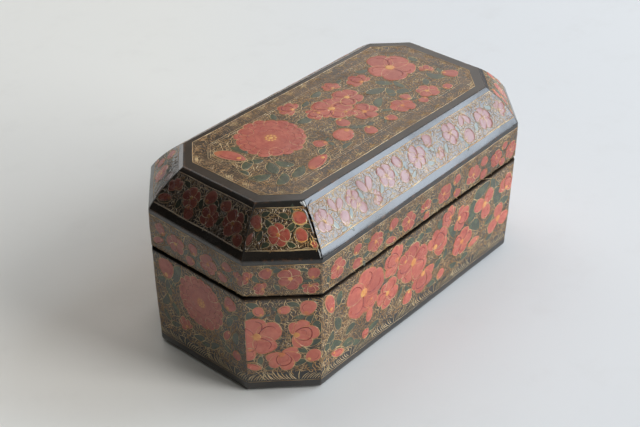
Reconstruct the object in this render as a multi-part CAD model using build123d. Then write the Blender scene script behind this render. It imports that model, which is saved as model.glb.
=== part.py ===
from build123d import *

import math
import os

# A papier mache box with a lift-off lid. Its plan is a rectangle with the four corners cut off.
# Every side is a flat board of pasted paper, mitred to its neighbours. The base is eight walls round
# a floor board, with a lip strip glued inside each wall that stands up into the lid. The lid is eight
# upright rim boards, eight sloping boards with slightly crowned faces, and a bevelled top board.
# Millimetres. +Z is up, +X runs along the box, and the origin is the middle of the underside.

# Overall shape
box_length = 180.0  # over the end walls
box_width = 96.0  # over the long walls
corner_cut = 22.0  # taken off each corner, measured along both walls
base_height = 49.5  # from the underside to the parting line
rim_height = 19.5  # upright part of the lid
slope_rise = 15.0  # sloping part of the lid, from its shoulder to its top
slope_run = 15.0  # how far the slope leans in over that rise
slope_crown = 1.1  # how far a sloping board's outer face swells past flat

# Boards
wall_thickness = 4.0
floor_thickness = 4.0
lip_thickness = 2.4
lip_glued = 15.0  # how far the lip reaches down inside the walls
lip_stand = 6.0  # how far the lip stands up into the lid
lip_lead = 1.0  # bevel on the lip's top edge that guides the lid on
lid_clearance = 0.4  # between the lip and the inside of the lid, all round
lid_thickness = wall_thickness - lid_clearance

# Rounding of the outer edges, worn and filled with paint
arris_radius = 1.6  # upright corners
foot_radius = 2.4  # round the underside
seam_radius = 0.7  # each side of the parting line
shoulder_radius = 2.0  # between rim and slope
crest_radius = 1.4  # round the flat top

# Heights and angles that follow
shoulder_z = base_height + rim_height
top_z = shoulder_z + slope_rise
slope_angle = math.atan2(slope_rise, slope_run)
corner_turn = math.radians(45)  # from each side of the plan to the next
mitre_lean = math.tan(corner_turn / 2)
shoulder_lean = math.tan((math.pi / 2 - slope_angle) / 2)
crest_lean = math.tan(slope_angle / 2)

side_names = ["right", "back_right", "back", "back_left", "left", "front_left", "front", "front_right"]


def octagon_points(inset=0.0):
    """Corners of the plan outline moved in by inset, anticlockwise from the front of the right side."""
    x = box_length / 2 - inset
    y = box_width / 2 - inset
    cut = corner_cut - inset * (1 - mitre_lean)
    return [
        (x, -y + cut),
        (x, y - cut),
        (x - cut, y),
        (-x + cut, y),
        (-x, y - cut),
        (-x, -y + cut),
        (-x + cut, -y),
        (x - cut, -y),
    ]


def octagon(inset=0.0, z=0.0):
    """The plan outline moved in by inset, as a face at height z."""
    return Pos(0, 0, z) * make_face(Polyline(*octagon_points(inset), close=True))


def sides():
    """For each side of the plan: its name, half its length, and a plane at its middle.

    In that plane X is the depth into the box, Y is up, and Z runs along the side.
    """
    corners = octagon_points()
    for name, start, end in zip(side_names, corners, corners[1:] + corners[:1]):
        side = Vector(*end) - Vector(*start)
        along = side.normalized()
        inward = along.rotate(Axis.Z, 90)
        middle = Vector(*start) + side / 2
        yield name, side.length / 2, Plane(middle, x_dir=inward, z_dir=along)


def polygon(*points):
    """A flat face with straight edges between points of depth and height."""
    return make_face(Polyline(*points, close=True))


def rounded(face, corners):
    """A face in depth and height with some of its corners rounded, given as {corner: radius}."""
    for (depth, z), radius in corners.items():
        face = fillet(face.vertices().sort_by_distance((depth, z, 0))[0], radius)
    return face


def base_outline():
    """The base seen along one side, from its outer face right across: a rounded foot and seam edge."""
    face = polygon((0, 0), (box_length, 0), (box_length, base_height), (0, base_height))
    return rounded(face, {(0, 0): foot_radius, (0, base_height): seam_radius})


def lid_outline():
    """The lid seen along one side, from its outer faces right across: upright rim, crowned slope, top."""
    seam = (0, base_height)
    shoulder = (0, shoulder_z)
    crest = (slope_run, top_z)
    swell = (
        slope_run / 2 - slope_crown * math.sin(slope_angle),
        shoulder_z + slope_rise / 2 + slope_crown * math.cos(slope_angle),
    )
    slope = ThreePointArc(shoulder, swell, crest)
    rest = Polyline(crest, (box_length, top_z), (box_length, base_height), seam, shoulder)
    face = make_face([slope, rest])
    return rounded(face, {seam: seam_radius, shoulder: shoulder_radius, crest: crest_radius})


def rounded_plan():
    """The plan outline with its eight upright corners rounded, as tall as the box."""
    return extrude(fillet(octagon().vertices(), arris_radius), top_z)


def mitred_board(section, half, plane):
    """A board of one section (a face in depth and height), cut at both ends on the corner mitres."""
    board = extrude(plane * section, half + wall_thickness, both=True)
    for end in (1, -1):
        corner = plane.from_local_coords(Vector(0, 0, end * half))
        away = plane.z_dir * end + plane.x_dir * mitre_lean
        board = split(board, bisect_by=Plane(corner, z_dir=away), keep=Keep.BOTTOM)
    return board


def floor_board():
    """The floor, glued in between the walls and flush with their feet."""
    return extrude(octagon(wall_thickness), floor_thickness)


def wall_board(half, plane, plan):
    """One wall of the base, from the ground to the parting line."""
    section = polygon((0, 0), (wall_thickness, 0), (wall_thickness, base_height), (0, base_height))
    return mitred_board(section & base_outline(), half, plane) & plan


def lip_strip(half, plane):
    """One strip of the lip, glued inside its wall and standing up to hold the lid in place."""
    inner = wall_thickness + lip_thickness
    bottom = base_height - lip_glued
    top = base_height + lip_stand
    section = polygon(
        (wall_thickness, bottom),
        (inner, bottom),
        (inner, top),
        (wall_thickness + lip_lead, top),
        (wall_thickness, top - lip_lead),
    )
    return mitred_board(section, half, plane)


def rim_board(half, plane, plan):
    """One upright board of the lid, its top edge bevelled to meet the slope."""
    section = polygon(
        (0, base_height),
        (lid_thickness, base_height),
        (lid_thickness, shoulder_z - lid_thickness * shoulder_lean),
        (0, shoulder_z),
    )
    return mitred_board(section & lid_outline(), half, plane) & plan


def slope_board(half, plane, plan):
    """One sloping board with a crowned face, bevelled on all four edges."""
    proud = 2 * slope_crown
    section = polygon(
        (lid_thickness, shoulder_z - lid_thickness * shoulder_lean),
        (slope_run + lid_thickness * crest_lean, top_z - lid_thickness),
        (slope_run - proud * crest_lean, top_z + proud),
        (-proud, shoulder_z + proud * shoulder_lean),
    )
    return mitred_board(section & lid_outline(), half, plane) & plan


def top_board():
    """The flat top, its edges bevelled to meet the sloping boards and rounded above."""
    inside_inset = slope_run + lid_thickness * crest_lean
    board = loft([octagon(inside_inset, top_z - lid_thickness), octagon(slope_run, top_z)])
    for _, _, plane in sides():
        board &= extrude(plane * lid_outline(), box_length, both=True)
    return board


def box_boards():
    """Every board of the box by name, closed, with the lid seated on the walls."""
    plan = rounded_plan()
    boards = {"floor_board": floor_board(), "top_board": top_board()}
    for name, half, plane in sides():
        boards[f"wall_{name}"] = wall_board(half, plane, plan)
        boards[f"lip_{name}"] = lip_strip(half, plane)
        boards[f"rim_{name}"] = rim_board(half, plane, plan)
        boards[f"slope_{name}"] = slope_board(half, plane, plan)
    return boards


os.makedirs("parts", exist_ok=True)
for name, board in box_boards().items():
    export_step(board, f"parts/{name}.step")
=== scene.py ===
import math
import random

import bmesh
import bpy
import numpy as np
from mathutils import Matrix, Quaternion, Vector
from mathutils.geometry import delaunay_2d_cdt


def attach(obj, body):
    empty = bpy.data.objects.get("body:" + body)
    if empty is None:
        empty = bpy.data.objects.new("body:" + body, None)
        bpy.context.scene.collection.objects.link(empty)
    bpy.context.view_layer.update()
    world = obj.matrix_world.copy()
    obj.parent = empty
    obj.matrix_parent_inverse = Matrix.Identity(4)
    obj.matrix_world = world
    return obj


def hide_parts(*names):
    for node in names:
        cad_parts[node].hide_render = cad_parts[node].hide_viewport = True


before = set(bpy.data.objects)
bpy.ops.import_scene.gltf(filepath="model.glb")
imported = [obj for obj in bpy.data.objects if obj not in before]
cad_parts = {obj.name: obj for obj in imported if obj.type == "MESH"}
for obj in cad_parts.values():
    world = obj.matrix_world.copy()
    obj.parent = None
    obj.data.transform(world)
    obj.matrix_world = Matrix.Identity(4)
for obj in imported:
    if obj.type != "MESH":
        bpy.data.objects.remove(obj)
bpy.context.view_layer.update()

mm = 0.001
mitre = math.tan(math.radians(22.5))  # how far a mitred end draws in for each mm of depth

# The box in millimetres, as the boards in the frame are cut
box = {
    "length": 180.0,
    "width": 96.0,
    "cut": 22.0,
    "baseHeight": 49.5,
    "rimHeight": 19.5,
    "slopeRise": 15.0,
    "slopeCrown": 1.1,
    "wallBoard": 4.0,
    "lidBoard": 3.6,
    "arrisRadius": 1.6,
    "hipRadius": 0.6,
    "footRadius": 2.4,
    "seamRadius": 0.7,
    "shoulderEase": 0.6,  # how far the rounding of the shoulder reaches each way
    "crestEase": 0.42,
}
shoulderZ = box["baseHeight"] + box["rimHeight"]
topZ = shoulderZ + box["slopeRise"]

# How far the old box has settled out of true. Each level tilts by (along the length, across) at its ends
settled = {
    "parting": (0.25, 0.64),
    "shoulder": (1.19, 1.92),
    "crest": (-0.56, 0.07),
    "footInset": 1.1,  # the walls lean in this far at the foot
    "swell": 0.14,  # hills and hollows of the pasted board
    "crackGap": 0.38,  # each side of the open mitre beside the near corner
    "seamAt": (0, 52, 64, 84, 118, 160, 218, 260, 434),
    "seamGap": (1.35, 1.15, 0.75, 0.45, 1.1, 2.0, 2.3, 1.3, 1.2),
}

sideNames = ["left", "front_left", "front", "front_right", "right", "back_right", "back", "back_left"]


def makeSides():
    made, start = {}, 0.0
    x, y, cut = box["length"] / 2, box["width"] / 2, box["cut"]
    for i, name in enumerate(sideNames):
        angle = math.radians(180 + 45 * i)
        normal = np.array([math.cos(angle), math.sin(angle), 0.0])
        middle, half = (x - cut / 2, y - cut / 2), cut / math.sqrt(2)
        if name in ("left", "right"):
            middle, half = (x, 0), y - cut
        if name in ("front", "back"):
            middle, half = (0, y), x - cut
        along = np.array([-normal[1], normal[0], 0.0])
        middle = np.sign(normal.round(6)) * (*middle, 0.0)
        made[name] = {"normal": normal, "along": along, "middle": middle, "half": half, "start": start}
        start += 2 * half
    return made, start


sides, girth = makeSides()


# One board's outer face in section, as rows of (height up the face, depth, z)
def wallProfile():
    foot, seam, height = box["footRadius"], box["seamRadius"], box["baseHeight"]
    rows = []
    for a in np.linspace(0, math.pi / 2, 7):
        rows.append((foot - foot * (math.pi / 2 - a), foot - foot * math.sin(a), foot - foot * math.cos(a)))
    for z in np.linspace(foot + 1.5, height - seam - 1, 24):
        rows.append((z, 0.0, z))
    for a in np.linspace(0, math.pi / 2, 5):
        rows.append((height - seam + seam * a, seam - seam * math.cos(a), height - seam + seam * math.sin(a)))
    rows = np.array(rows)
    rows[:, 1] += settled["footInset"] * (1 - rows[:, 2] / height)
    return rows


slopeLength = math.hypot(box["slopeRise"], box["slopeRise"])


# Depth and height of the crowned sloping face, at a distance up its chord
def crown(q):
    sag = box["slopeCrown"]
    radius = (slopeLength * slopeLength / 4 + sag * sag) / (2 * sag)
    off = math.sqrt(radius * radius - (q - slopeLength / 2) ** 2) - (radius - sag)
    return np.array([(q - off) / math.sqrt(2), (q + off) / math.sqrt(2)])


def eased(a, b, c, t):
    return np.array(a) * (1 - t) ** 2 + 2 * np.array(b) * t * (1 - t) + np.array(c) * t * t


def rimProfile():
    seam, height, ease = box["seamRadius"], box["rimHeight"], box["shoulderEase"]
    rows = []
    for a in np.linspace(0, math.pi / 2, 5):
        rows.append((seam - seam * (math.pi / 2 - a), seam - seam * math.sin(a), seam - seam * math.cos(a)))
    for z in np.linspace(seam + 1, height - ease - 1, 10):
        rows.append((z, 0.0, z))
    for t in np.linspace(0, 0.5, 4):
        d, z = eased((0, -ease), (0, 0), crown(ease), t)
        rows.append((height - ease * (1 - 2 * t), d, height + z))
    rows = np.array(rows)
    rows[:, 2] += box["baseHeight"]
    return rows


def slopeProfile():
    shoulder, crest = box["shoulderEase"], box["crestEase"]
    rows = []
    for t in np.linspace(0.5, 1, 4):
        d, z = eased((0, -shoulder), (0, 0), crown(shoulder), t)
        rows.append((shoulder * (2 * t - 1), d, z))
    for q in np.linspace(shoulder + 1, slopeLength - crest - 1, 13):
        rows.append((q, *crown(q)))
    run = box["slopeRise"]
    for t in np.linspace(0, 0.5, 4):
        d, z = eased(crown(slopeLength - crest), (run, run), (run + crest, run), t)
        rows.append((slopeLength - crest * (1 - 2 * t), d, z))
    rows = np.array(rows)
    rows[:, 2] += shoulderZ
    return rows


profiles = {"wall": wallProfile(), "rim": rimProfile(), "slope": slopeProfile()}


def swell(points):
    x, y, z = points.T
    one = np.sin(x * 0.083 + 1.3) * np.cos(y * 0.117 + z * 0.051) + np.sin(z * 0.19 + x * 0.045 + 0.4)
    two = np.sin(x * 0.21 + y * 0.17 + 2.1) * np.sin(z * 0.27 + y * 0.08 + 0.9)
    return settled["swell"] * (0.5 * one + 0.35 * two)


def tiltAt(points):
    x, y, z = points.T
    levels = [0, box["baseHeight"], shoulderZ, topZ]
    share = [np.interp(z, levels, row) for row in np.eye(4)]
    lift = np.zeros(len(points))
    for part, name in zip(share[1:], ("parting", "shoulder", "crest")):  # the foot stays level
        a, b = settled[name]
        lift += part * (a * x / (box["length"] / 2) + b * y / (box["width"] / 2))
    return lift


def settle(points):
    moved = points.copy()
    moved[:, 2] += tiltAt(points)
    return moved


# A point on a board's face: u along the side, v up the face, h above the paintwork's ground
def onFace(part, side, u, v, h, scaled=True):
    rows = profiles[part]
    n, t = side["normal"], side["along"]
    middle, half = side["middle"], np.asarray(side["half"])
    depth = np.interp(v, rows[:, 0], rows[:, 1])
    z = np.interp(v, rows[:, 0], rows[:, 2])
    step = 0.06  # for the way the section leans at v
    dd = np.interp(v + step, rows[:, 0], rows[:, 1]) - np.interp(v - step, rows[:, 0], rows[:, 1])
    dz = np.interp(v + step, rows[:, 0], rows[:, 2]) - np.interp(v - step, rows[:, 0], rows[:, 2])
    size = np.hypot(dd, dz) + 1e-9
    out, up = dz / size, dd / size
    room = half - mitre * depth
    if scaled:
        u = u * room / half
    u = np.clip(u, -room, room)
    radius = np.full_like(u, box["arrisRadius"])
    if part == "slope":  # the hip is sharper than the upright corners that it rises from
        radius = np.interp(v, [0, 3], [box["arrisRadius"], box["hipRadius"]])
    ease = radius * mitre
    gap = room - np.abs(u)
    turn = np.clip((ease - gap) / ease, 0, 1) * math.radians(22.5)
    way = np.sign(u)
    near = gap < ease
    u = np.where(near, way * (room - ease + radius * np.sin(turn)), u)
    sink = radius * (1 - np.cos(turn))
    turn, way = turn[:, None], way[:, None]
    flatNormal = n * np.cos(turn) + way * t * np.sin(turn)
    ups = np.zeros_like(flatNormal)
    ups[:, 2] = 1
    normal = flatNormal * out[:, None] + ups * up[:, None]
    place = middle - n * (depth + sink)[:, None] + t * u[:, None]
    place[:, 2] += z
    place += normal * (h + swell(place))[:, None]
    return settle(place)


# The paintwork is laid out flat, in rows 100 mm apart: the walls and the rims each unrolled in one strip
# round the box, then the eight slopes, then the top
sheet = {"row": 100, "wall": 20, "rim": 120, "slope": 220, "top": 1050}


def flatPlace(face, u, v):
    if face == "top":
        return u, v + sheet["top"]
    part, name = face.split("_", 1)
    if part == "slope":
        return u, v + sheet["slope"] + sheet["row"] * sideNames.index(name)
    return sides[name]["start"] + sides[name]["half"] + u, v + sheet[part]


def onBox(flat):
    out = np.zeros((len(flat), 3))
    row = np.floor(flat[:, 1] / sheet["row"]).astype(int)
    starts = np.array([sides[n]["start"] for n in sideNames])
    for k in np.unique(row):  # rows 0 and 1 are the walls and rims, 2 to 9 the slopes, and 10 is the top
        pick = row == k
        x, y, h = flat[pick].T
        if k >= 10:
            place = np.c_[x, y - sheet["top"], np.full(len(x), topZ)]
            place[:, 2] += h + swell(place)
            out[pick] = settle(place)
        elif k >= 2:
            v = y - sheet["slope"] - sheet["row"] * (k - 2)
            out[pick] = onFace("slope", sides[sideNames[k - 2]], x, v, h, scaled=False)
        else:
            x = x % girth
            which = np.searchsorted(starts, x, side="right") - 1
            keys = ("normal", "along", "middle", "half")
            side = {key: np.array([sides[n][key] for n in sideNames])[which] for key in keys}
            part = ("wall", "rim")[k]
            out[pick] = onFace(part, side, x - starts[which] - side["half"], y - sheet[part], h)
    return out


# Small helpers for node trees
def link(tree, source, target):
    tree.links.new(source, target)


# Sets a socket to a number or a colour, or links it to what another node gives
def feed(tree, value, socket):
    if isinstance(value, bpy.types.NodeSocket):
        link(tree, value, socket)
    elif isinstance(value, tuple):
        socket.default_value = (*value, 1.0)[:len(socket.default_value)]
    else:
        socket.default_value = value


# Adds a node, with what goes into its sockets by name or number, and its own settings
def add(tree, kind, inputs=None, **settings):
    node = tree.nodes.new(kind)
    for key, value in settings.items():
        setattr(node, key, value)
    for key, value in (inputs or {}).items():
        feed(tree, value, node.inputs[key])
    return node


def mathNode(tree, operation, a, b=None, clamp=False):
    values = {0: a} if b is None else {0: a, 1: b}
    return add(tree, "ShaderNodeMath", values, operation=operation, use_clamp=clamp).outputs[0]


def times(tree, first, *others, clamp=False):
    for other in others:
        first = mathNode(tree, "MULTIPLY", first, other, clamp)
    return first


def plus(tree, first, *others):
    for other in others:
        first = mathNode(tree, "ADD", first, other)
    return first


def less(tree, a, b, clamp=False):
    return mathNode(tree, "SUBTRACT", a, b, clamp)


def oneMinus(tree, value):
    return less(tree, 1.0, value)


def axes(tree, vector):
    return add(tree, "ShaderNodeSeparateXYZ", {0: vector}).outputs


def stored(tree, name):  # the three values that each point keeps under this name
    return axes(tree, add(tree, "ShaderNodeAttribute", attribute_name=name).outputs["Vector"])


def mixColour(tree, factor, a, b, blend="MIX"):
    values = {"Factor": factor, 6: a, 7: b}
    return add(tree, "ShaderNodeMix", values, data_type="RGBA", blend_type=blend).outputs[2]


def ramp(tree, source, low, high):
    values = {"Value": source, "From Min": low, "From Max": high}
    return add(tree, "ShaderNodeMapRange", values, interpolation_type="SMOOTHSTEP").outputs["Result"]


def noise(tree, coords, scale, detail=2.0, rough=0.5, warp=0.0):
    values = {"Vector": coords, "Scale": scale, "Detail": detail, "Roughness": rough, "Distortion": warp}
    return add(tree, "ShaderNodeTexNoise", values).outputs["Fac"]


def bump(tree, height, strength, depth, under=None):
    values = {"Strength": strength, "Distance": depth * mm, "Height": height}
    if under is not None:
        values["Normal"] = under
    return add(tree, "ShaderNodeBump", values).outputs["Normal"]


def srgb(r, g, b):
    return tuple(((c / 255 + 0.055) / 1.055) ** 2.4 if c > 10 else c / 255 / 12.92 for c in (r, g, b))


def startMaterial(name):
    material = bpy.data.materials.new(name)
    material.use_nodes = True
    tree = material.node_tree
    shader = tree.nodes["Principled BSDF"]
    coords = add(tree, "ShaderNodeTexCoord").outputs["Object"]
    return material, tree, shader, coords


# The one coat of varnish over everything: its gloss, its dull patches, its dents and its fine ripple
varnish = {
    "roughness": 0.11,
    "dullPatches": 0.14,
    "dullSpecks": 0.08,
    "dullWear": 0.35,
    "ior": 1.7,
    "dentDepth": 0.06,
    "dentScale": 130.0,
    "rippleDepth": 0.010,
    "rippleScale": 900.0,
    "reliefDepth": 0.05,  # how far the scribbled gold stands up
}


def varnishOver(tree, shader, coords, relief=None, rough=0.0, wear=None):
    patches = ramp(tree, noise(tree, coords, 38.0, 3.0, 0.6), 0.42, 0.72)
    specks = noise(tree, coords, 620.0, 2.0, 0.6)
    dull = plus(tree, times(tree, patches, varnish["dullPatches"]), times(tree, specks, varnish["dullSpecks"]))
    total = plus(tree, dull, varnish["roughness"] + rough)
    if wear is not None:
        total = plus(tree, total, times(tree, wear, varnish["dullWear"]))
    link(tree, total, shader.inputs["Roughness"])
    shader.inputs["IOR"].default_value = varnish["ior"]
    dents = bump(tree, noise(tree, coords, varnish["dentScale"], 2.0, 0.5), 0.5, varnish["dentDepth"])
    last = bump(tree, noise(tree, coords, varnish["rippleScale"], 3.0, 0.6), 0.6, varnish["rippleDepth"], dents)
    if relief is not None:
        last = bump(tree, relief, 0.7, varnish["reliefDepth"], last)
    link(tree, last, shader.inputs["Normal"])


# Painted shade darkens the sloping boards at the left end of the lid, fading out toward the near hip. It lies
# thinner on the left walls and on all the rims
paintedShade = {
    "colour": srgb(22, 16, 13),
    "slopeShare": 0.80,
    "wallShare": 0.20,
    "rimShare": 0.15,
    "leftward": (0.030, 0.060),  # where it starts and where it is full, along y - x, in metres
    "backward": (0.026, 0.034),  # where it starts to fade and where it is gone, along y
}


def paintedShadeOver(tree, coords):
    x, y, z = axes(tree, coords)
    aboveSeam = ramp(tree, z, (box["baseHeight"] - 0.5) * mm, (box["baseHeight"] + 0.7) * mm)
    aboveRim = ramp(tree, z, (shoulderZ - 0.5) * mm, (shoulderZ + 1.5) * mm)
    onSlope = less(tree, aboveRim, ramp(tree, z, (topZ - 0.8) * mm, (topZ + 0.2) * mm))
    lower = times(tree, oneMinus(tree, aboveRim), paintedShade["wallShare"])
    level = plus(tree, times(tree, onSlope, paintedShade["slopeShare"]), lower)
    leftward = ramp(tree, less(tree, y, x), *paintedShade["leftward"])
    near = oneMinus(tree, ramp(tree, y, *paintedShade["backward"]))
    onRim = times(tree, less(tree, aboveSeam, aboveRim), paintedShade["rimShare"])
    return plus(tree, times(tree, leftward, level, near), onRim)


# A film of dust and yellowed varnish lies over all the paint, and the painted shade over that
film = {"colour": srgb(124, 104, 84), "patches": 0.09, "specks": 0.12}


def underFilm(tree, colour, coords, share):
    patches = ramp(tree, noise(tree, coords, 55.0, 4.0, 0.65), 0.40, 0.75)
    specks = ramp(tree, noise(tree, coords, 1500.0, 2.0, 0.7), 0.66, 0.74)
    amount = plus(tree, times(tree, patches, film["patches"]), share, times(tree, specks, film["specks"]))
    filmed = mixColour(tree, amount, colour, film["colour"])
    # painted shade over the left end of the lid, the left walls and the rims
    return mixColour(tree, paintedShadeOver(tree, coords), filmed, paintedShade["colour"])


# The ground: black lacquer, with an olive field scribbled over in fine gold between the borders
ground = {
    "black": srgb(20, 19, 18),
    "field": srgb(88, 67, 43),
    "fieldDark": srgb(40, 32, 24),
    "scribble": srgb(180, 134, 80),
    "scribbleShare": 0.70,
    "scribbleScale": 520.0,
    "leftWallShade": 0.50,  # painted shade: how much blacker the field is painted on the two walls at the left
    "nearFrom": (0.016, 0.022),  # where those walls start, along y - x, in metres
    "wornBrown": srgb(92, 62, 40),
    "wornShare": 0.75,
    "barePaper": srgb(150, 128, 100),
    "seamDirtAndShade": srgb(14, 12, 11),
    "seamShare": 0.8,
    "gloss": 0.5,
}


def groundMaterial():
    material, tree, shader, coords = startMaterial("blackLacquerGround")
    border, edge, seam = stored(tree, "coat")  # mm inside the border, mm from an edge, share of seam dirt and painted shade
    inField = ramp(tree, border, -0.05, 0.15)
    squiggle = noise(tree, coords, ground["scribbleScale"], 1.0, 0.4, 1.2)
    ridge = mathNode(tree, "ABSOLUTE", less(tree, squiggle, 0.5))
    line = oneMinus(tree, ramp(tree, ridge, 0.012, 0.045))
    broken = ramp(tree, noise(tree, coords, 260.0, 2.0), 0.34, 0.54)
    gold = times(tree, line, broken, ground["scribbleShare"], inField)
    cloud = noise(tree, coords, 60.0, 4.0, 0.6)
    field = mixColour(tree, ramp(tree, cloud, 0.3, 0.7), ground["fieldDark"], ground["field"])
    x, y, z = axes(tree, coords)
    onWall = ramp(tree, z, (box["baseHeight"] + 0.5) * mm, (box["baseHeight"] - 0.5) * mm)
    # painted shade: the field of the two walls at the left is painted blacker
    shade = times(tree, ramp(tree, less(tree, y, x), *ground["nearFrom"]), onWall, ground["leftWallShade"])
    field = mixColour(tree, shade, field, ground["black"])
    bits = ramp(tree, noise(tree, coords, 300.0, 4.0, 0.7), 0.50, 0.64)
    scuff = oneMinus(tree, ramp(tree, edge, 0.15, 1.1))
    chips = ramp(tree, noise(tree, coords, 210.0, 5.0, 0.75), 0.665, 0.70)
    nearEdge = oneMinus(tree, ramp(tree, edge, 0.0, 0.45))
    base = mixColour(tree, inField, ground["black"], field)
    base = mixColour(tree, gold, base, ground["scribble"])
    base = mixColour(tree, times(tree, scuff, bits, ground["wornShare"]), base, ground["wornBrown"])
    base = mixColour(tree, times(tree, chips, nearEdge), base, ground["barePaper"])
    # dirt and painted shade along the parting line, where the groove between lid and base lies
    base = mixColour(tree, times(tree, seam, ground["seamShare"]), base, ground["seamDirtAndShade"])
    link(tree, underFilm(tree, base, coords, 0.02), shader.inputs["Base Color"])
    link(tree, times(tree, oneMinus(tree, seam), ground["gloss"]), shader.inputs["Specular IOR Level"])
    varnishOver(tree, shader, coords, relief=gold, wear=nearEdge)
    return material


# Flower colours, and the strokes drawn over them
rose = {
    "petal": srgb(196, 78, 64),
    "petalPale": srgb(222, 118, 94),
    "petalDeep": srgb(146, 46, 40),
    "dusk": srgb(96, 44, 44),
    # painted shade for the flowers of the front slope
    "heart": srgb(210, 132, 62),
    "heartPale": srgb(224, 164, 88),
    "madder": srgb(120, 26, 30),
    "outline": srgb(216, 142, 84),
    "worn": srgb(120, 74, 56),
}
foliage = {"leaf": srgb(44, 58, 42), "leafPale": srgb(76, 88, 62)}
gilding = {
    "gold": srgb(180, 136, 82),
    "goldPale": srgb(220, 190, 140),
    "goldWorn": srgb(112, 86, 58),
}


def petalMaterial():
    material, tree, shader, coords = startMaterial("rosePetalPaint")
    fromHeart, fromEdge, tone = stored(tree, "bloom")
    brush = ramp(tree, noise(tree, coords, 420.0, 4.0, 0.65), 0.32, 0.68)
    cloud = noise(tree, coords, 110.0, 3.0, 0.6)
    nearRim = oneMinus(tree, ramp(tree, fromEdge, 0.0, 0.30))
    nearHeart = oneMinus(tree, ramp(tree, fromHeart, 0.02, 0.34))
    coats = (
        ("petalDeep", times(tree, ramp(tree, cloud, 0.62, 0.38), 0.40)),
        ("petalPale", times(tree, nearRim, 0.50)),
        ("petalDeep", times(tree, mathNode(tree, "MINIMUM", tone, 1.0), 0.45, clamp=True)),
        ("petalPale", times(tree, tone, -0.55, clamp=True)),
        ("heart", times(tree, nearHeart, 0.55)),
        # painted shade of the front slope's flowers, from a tone above 1
        ("dusk", less(tree, tone, 1.0, clamp=True)),
        ("worn", times(tree, ramp(tree, cloud, 0.60, 0.80), 0.30)),
    )
    colour = mixColour(tree, brush, rose["petal"], rose["petalPale"])
    for paint, share in coats:
        colour = mixColour(tree, share, colour, rose[paint])
    link(tree, underFilm(tree, colour, coords, 0.15), shader.inputs["Base Color"])
    varnishOver(tree, shader, coords, rough=0.06)
    return material


def leafMaterial():
    material, tree, shader, coords = startMaterial("leafGreenPaint")
    brush = noise(tree, coords, 260.0, 3.0, 0.6)
    colour = mixColour(tree, ramp(tree, brush, 0.35, 0.75), foliage["leaf"], foliage["leafPale"])
    link(tree, underFilm(tree, colour, coords, 0.04), shader.inputs["Base Color"])
    varnishOver(tree, shader, coords)
    return material


# The paint of one kind of brush stroke: its main colour, paler patches, and what shows where it is rubbed
def strokeMaterial(name, main, pale, worn, wornShare, metal=0.0):
    material, tree, shader, coords = startMaterial(name)
    tone = noise(tree, coords, 180.0, 2.0, 0.6)
    colour = mixColour(tree, ramp(tree, tone, 0.35, 0.65), main, pale)
    rubbed = times(tree, ramp(tree, noise(tree, coords, 75.0, 4.0, 0.7), 0.46, 0.66), wornShare)
    colour = mixColour(tree, rubbed, colour, worn)
    link(tree, underFilm(tree, colour, coords, 0.02), shader.inputs["Base Color"])
    shader.inputs["Metallic"].default_value = metal
    varnishOver(tree, shader, coords)
    return material


# The plain lacquer of the inside, browner in clouds and dusty
inside = {"dust": srgb(96, 84, 66), "dustShare": 0.25}


def insideMaterial(name, dark, brown, scale):
    material, tree, shader, coords = startMaterial(name)
    cloud = noise(tree, coords, scale, 4.0, 0.6)
    dust = ramp(tree, noise(tree, coords, 900.0, 3.0, 0.7), 0.58, 0.75)
    colour = mixColour(tree, ramp(tree, cloud, 0.35, 0.75), dark, brown)
    colour = mixColour(tree, times(tree, dust, inside["dustShare"]), colour, inside["dust"])
    link(tree, underFilm(tree, colour, coords, 0.02), shader.inputs["Base Color"])
    varnishOver(tree, shader, coords, rough=0.16)
    return material


# Main colour, paler colour, colour where rubbed, share rubbed, and for the golds how metallic
strokePaints = {
    "gilt": ("goldLinePaint", gilding["gold"], gilding["goldPale"], gilding["goldWorn"], 0.7, 0.10),
    "feather": ("featherGoldPaint", gilding["goldPale"], srgb(232, 206, 160), gilding["gold"], 0.5, 0.10),
    "outline": ("petalOutlinePaint", rose["outline"], gilding["goldPale"], rose["petal"], 0.7),
    "madder": ("madderStrokePaint", rose["madder"], rose["petalDeep"], rose["petalDeep"], 0.5),
    "heart": ("flowerHeartPaint", rose["heart"], rose["heartPale"], rose["petal"], 0.6),
    "crack": ("hairlineCrackDirt", srgb(16, 13, 11), srgb(26, 20, 16), srgb(40, 30, 22), 0.5),
    # pale marks: bare gesso where chipped, and a painted highlight along the near hip's edge
    "chip": ("chippedGesso", srgb(186, 186, 184), srgb(206, 204, 198), srgb(120, 110, 100), 0.4),
    # painted highlights: bright gold strokes standing for glints of light on the gold
    "glint": ("brightGold", srgb(232, 168, 74), srgb(246, 204, 120), srgb(196, 132, 60), 0.4),
}
paints = {
    "ground": groundMaterial(),
    "petal": petalMaterial(),
    "leaf": leafMaterial(),
    "lip": insideMaterial("lipBlackLacquer", srgb(22, 20, 19), srgb(48, 36, 27), 70.0),
    "floor": insideMaterial("floorBlackLacquer", srgb(20, 19, 18), srgb(40, 31, 25), 45.0),
}
for kind, values in strokePaints.items():
    paints[kind] = strokeMaterial(*values)
print("materials made:", len(paints))


def meshObject(name, verts, faces, material, smooth=35):
    mesh = bpy.data.meshes.new(name)
    mesh.from_pydata([tuple(v) for v in verts], [], [tuple(int(i) for i in f) for f in faces])
    mesh.validate(clean_customdata=False)
    piece = bpy.data.objects.new(name, mesh)
    bpy.context.scene.collection.objects.link(piece)
    mesh.materials.append(material)
    for face in mesh.polygons:
        face.use_smooth = True
    if smooth:
        mesh.set_sharp_from_angle(angle=math.radians(smooth))
    return piece


def writeAttribute(mesh, name, values):
    made = mesh.attributes.new(name, "FLOAT_VECTOR", "POINT")
    made.data.foreach_set("vector", np.asarray(values, np.float32).ravel())


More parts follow.
